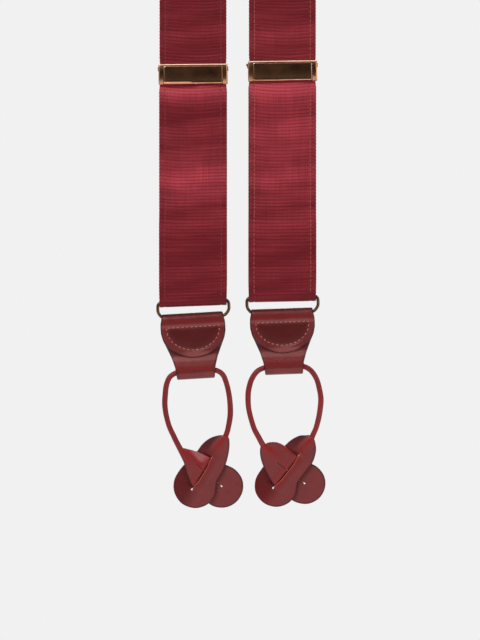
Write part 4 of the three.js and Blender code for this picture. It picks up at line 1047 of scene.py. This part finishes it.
back_stitch = stitch_lengths(1.9, 0.24)
patch_outline = np.concatenate([patch_side(), patch_side()[::-1] * np.array([-1, 1])])
sewn_line = patch_outline * SEWN_IN + np.array([0, PATCH_MIDDLE * (1 - SEWN_IN)])
patch_line = np.concatenate([sewn_line, sewn_line[:1]])
patch_run = np.concatenate([[0], np.cumsum(np.hypot(*np.diff(patch_line, axis=0).T))])
patch_s = np.arange(1.4, patch_run[-1] - 1, 2.8)
patch_points, patch_next = (
    np.stack([np.interp(patch_s + onward, patch_run, patch_line[:, k]) for k in (0, 1)], 1)
    for onward in (0, 0.3))
patch_ahead = (patch_next - patch_points) / np.hypot(*(patch_next - patch_points).T)[:, None]
sewing_bodies = []
for node, middle, out in (("back_patch_outer", 15.5, 1), ("back_patch_inner", 11.8, -1)):
    loops, tan = patch_loops(middle, out)
    yoke = make_piece(node.replace("back_patch", "yoke"), [loops], calf, marks={"tan": tan})
    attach(yoke, "harness")
    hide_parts(node)
    sewing_bodies.extend(sewn_on(patch_points, patch_ahead, back_stitch, middle + out * 0.66, out))
yoke_sewing = make_piece("yoke_sewing", sewing_bodies, end_thread)
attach(yoke_sewing, "harness")
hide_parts("back_patch_stitching")

# ---- Elastic back strap -------------------------------------------------------------------
# Woven elastic webbing, sewn between the yokes, turned round the rear ring and sewn back on
# itself with two rows. Rubber cords run along it between fine crosswise picks.
ELASTIC_TURN_R = 2.0
ELASTIC_HALF = 17.5
ELASTIC_TILT = np.tan(np.radians(2.2))
PICK, CORD_GAP = 1.15, 1.6
BACK_Y, BACK_RING_Z = END_PLACE["back"][1:]
elastic_marks = np.cumsum([0, 129.0, np.pi * ELASTIC_TURN_R, 27.0])


def elastic_point(s, u, off):
    """A point of the webbing at length s from its hidden top, u across and off out of its middle:
    straight down, a half round under the ring's bar, and straight up inside. Near the ring every
    crosswise row is tilted with it."""
    turned = np.interp(s, elastic_marks, [0, 0, np.pi, np.pi])
    down = -93 - np.minimum(s, elastic_marks[1]) + np.maximum(s - elastic_marks[2], 0)
    y = BACK_Y + np.cos(turned) * (ELASTIC_TURN_R + off)
    z = down - np.sin(turned) * (ELASTIC_TURN_R + off)
    _, under, up, end = elastic_marks
    tilted = np.interp(s, [under - 45, under - 8, up + 8, end], [0, 1, 1, 0.3])
    return np.stack([u, y, z - ELASTIC_TILT * u * tilted], -1)


s = np.linspace(0, elastic_marks[-1], int(elastic_marks[-1] / PICK * 5))[:, None]
v = np.linspace(-1, 1, 67)
u = np.concatenate([v, v[-2:0:-1]])[None] * ELASTIC_HALF
face = sides(65)
rounded = rounded_over(ELASTIC_HALF - np.abs(u), 0.7)
picks = 0.07 * np.cos(2 * np.pi * s / PICK + np.pi * (np.floor(u / CORD_GAP) % 2))
cords = 0.09 * np.abs(np.cos(np.pi * u / CORD_GAP))
webbing = elastic_point(s + 0 * u, u + 0 * s, face * rounded * (0.66 + picks + cords))
lie = np.stack([u + 0 * s, s + 0 * u, 0 * u + 0 * s], -1)
web_finish = ribbon_weave("elastic_weave", tint(104, 24, 34), tint(66, 12, 20), tint(150, 66, 78))
elastic = make_piece("elastic_webbing", [webbing], web_finish, marks={"lie": lie})
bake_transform(elastic)
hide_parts("back_elastic")
row_x = np.arange(-15.6, 15.7, 2.6)
row_bodies = []
for height in (20.5, 24.5):
    points = np.stack([row_x, BACK_RING_Z + height - ELASTIC_TILT * row_x * 0.55], 1)
    straight = np.tile([[1.0, 0.0]], (len(row_x), 1))
    for face_y, out in ((14.42, 1), (8.86, -1)):
        row_bodies.extend(sewn_on(points, straight, back_stitch, face_y, out))
elastic_sewing = make_piece("elastic_sewing", row_bodies, threads["left"])
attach(elastic_sewing, "back_drop")
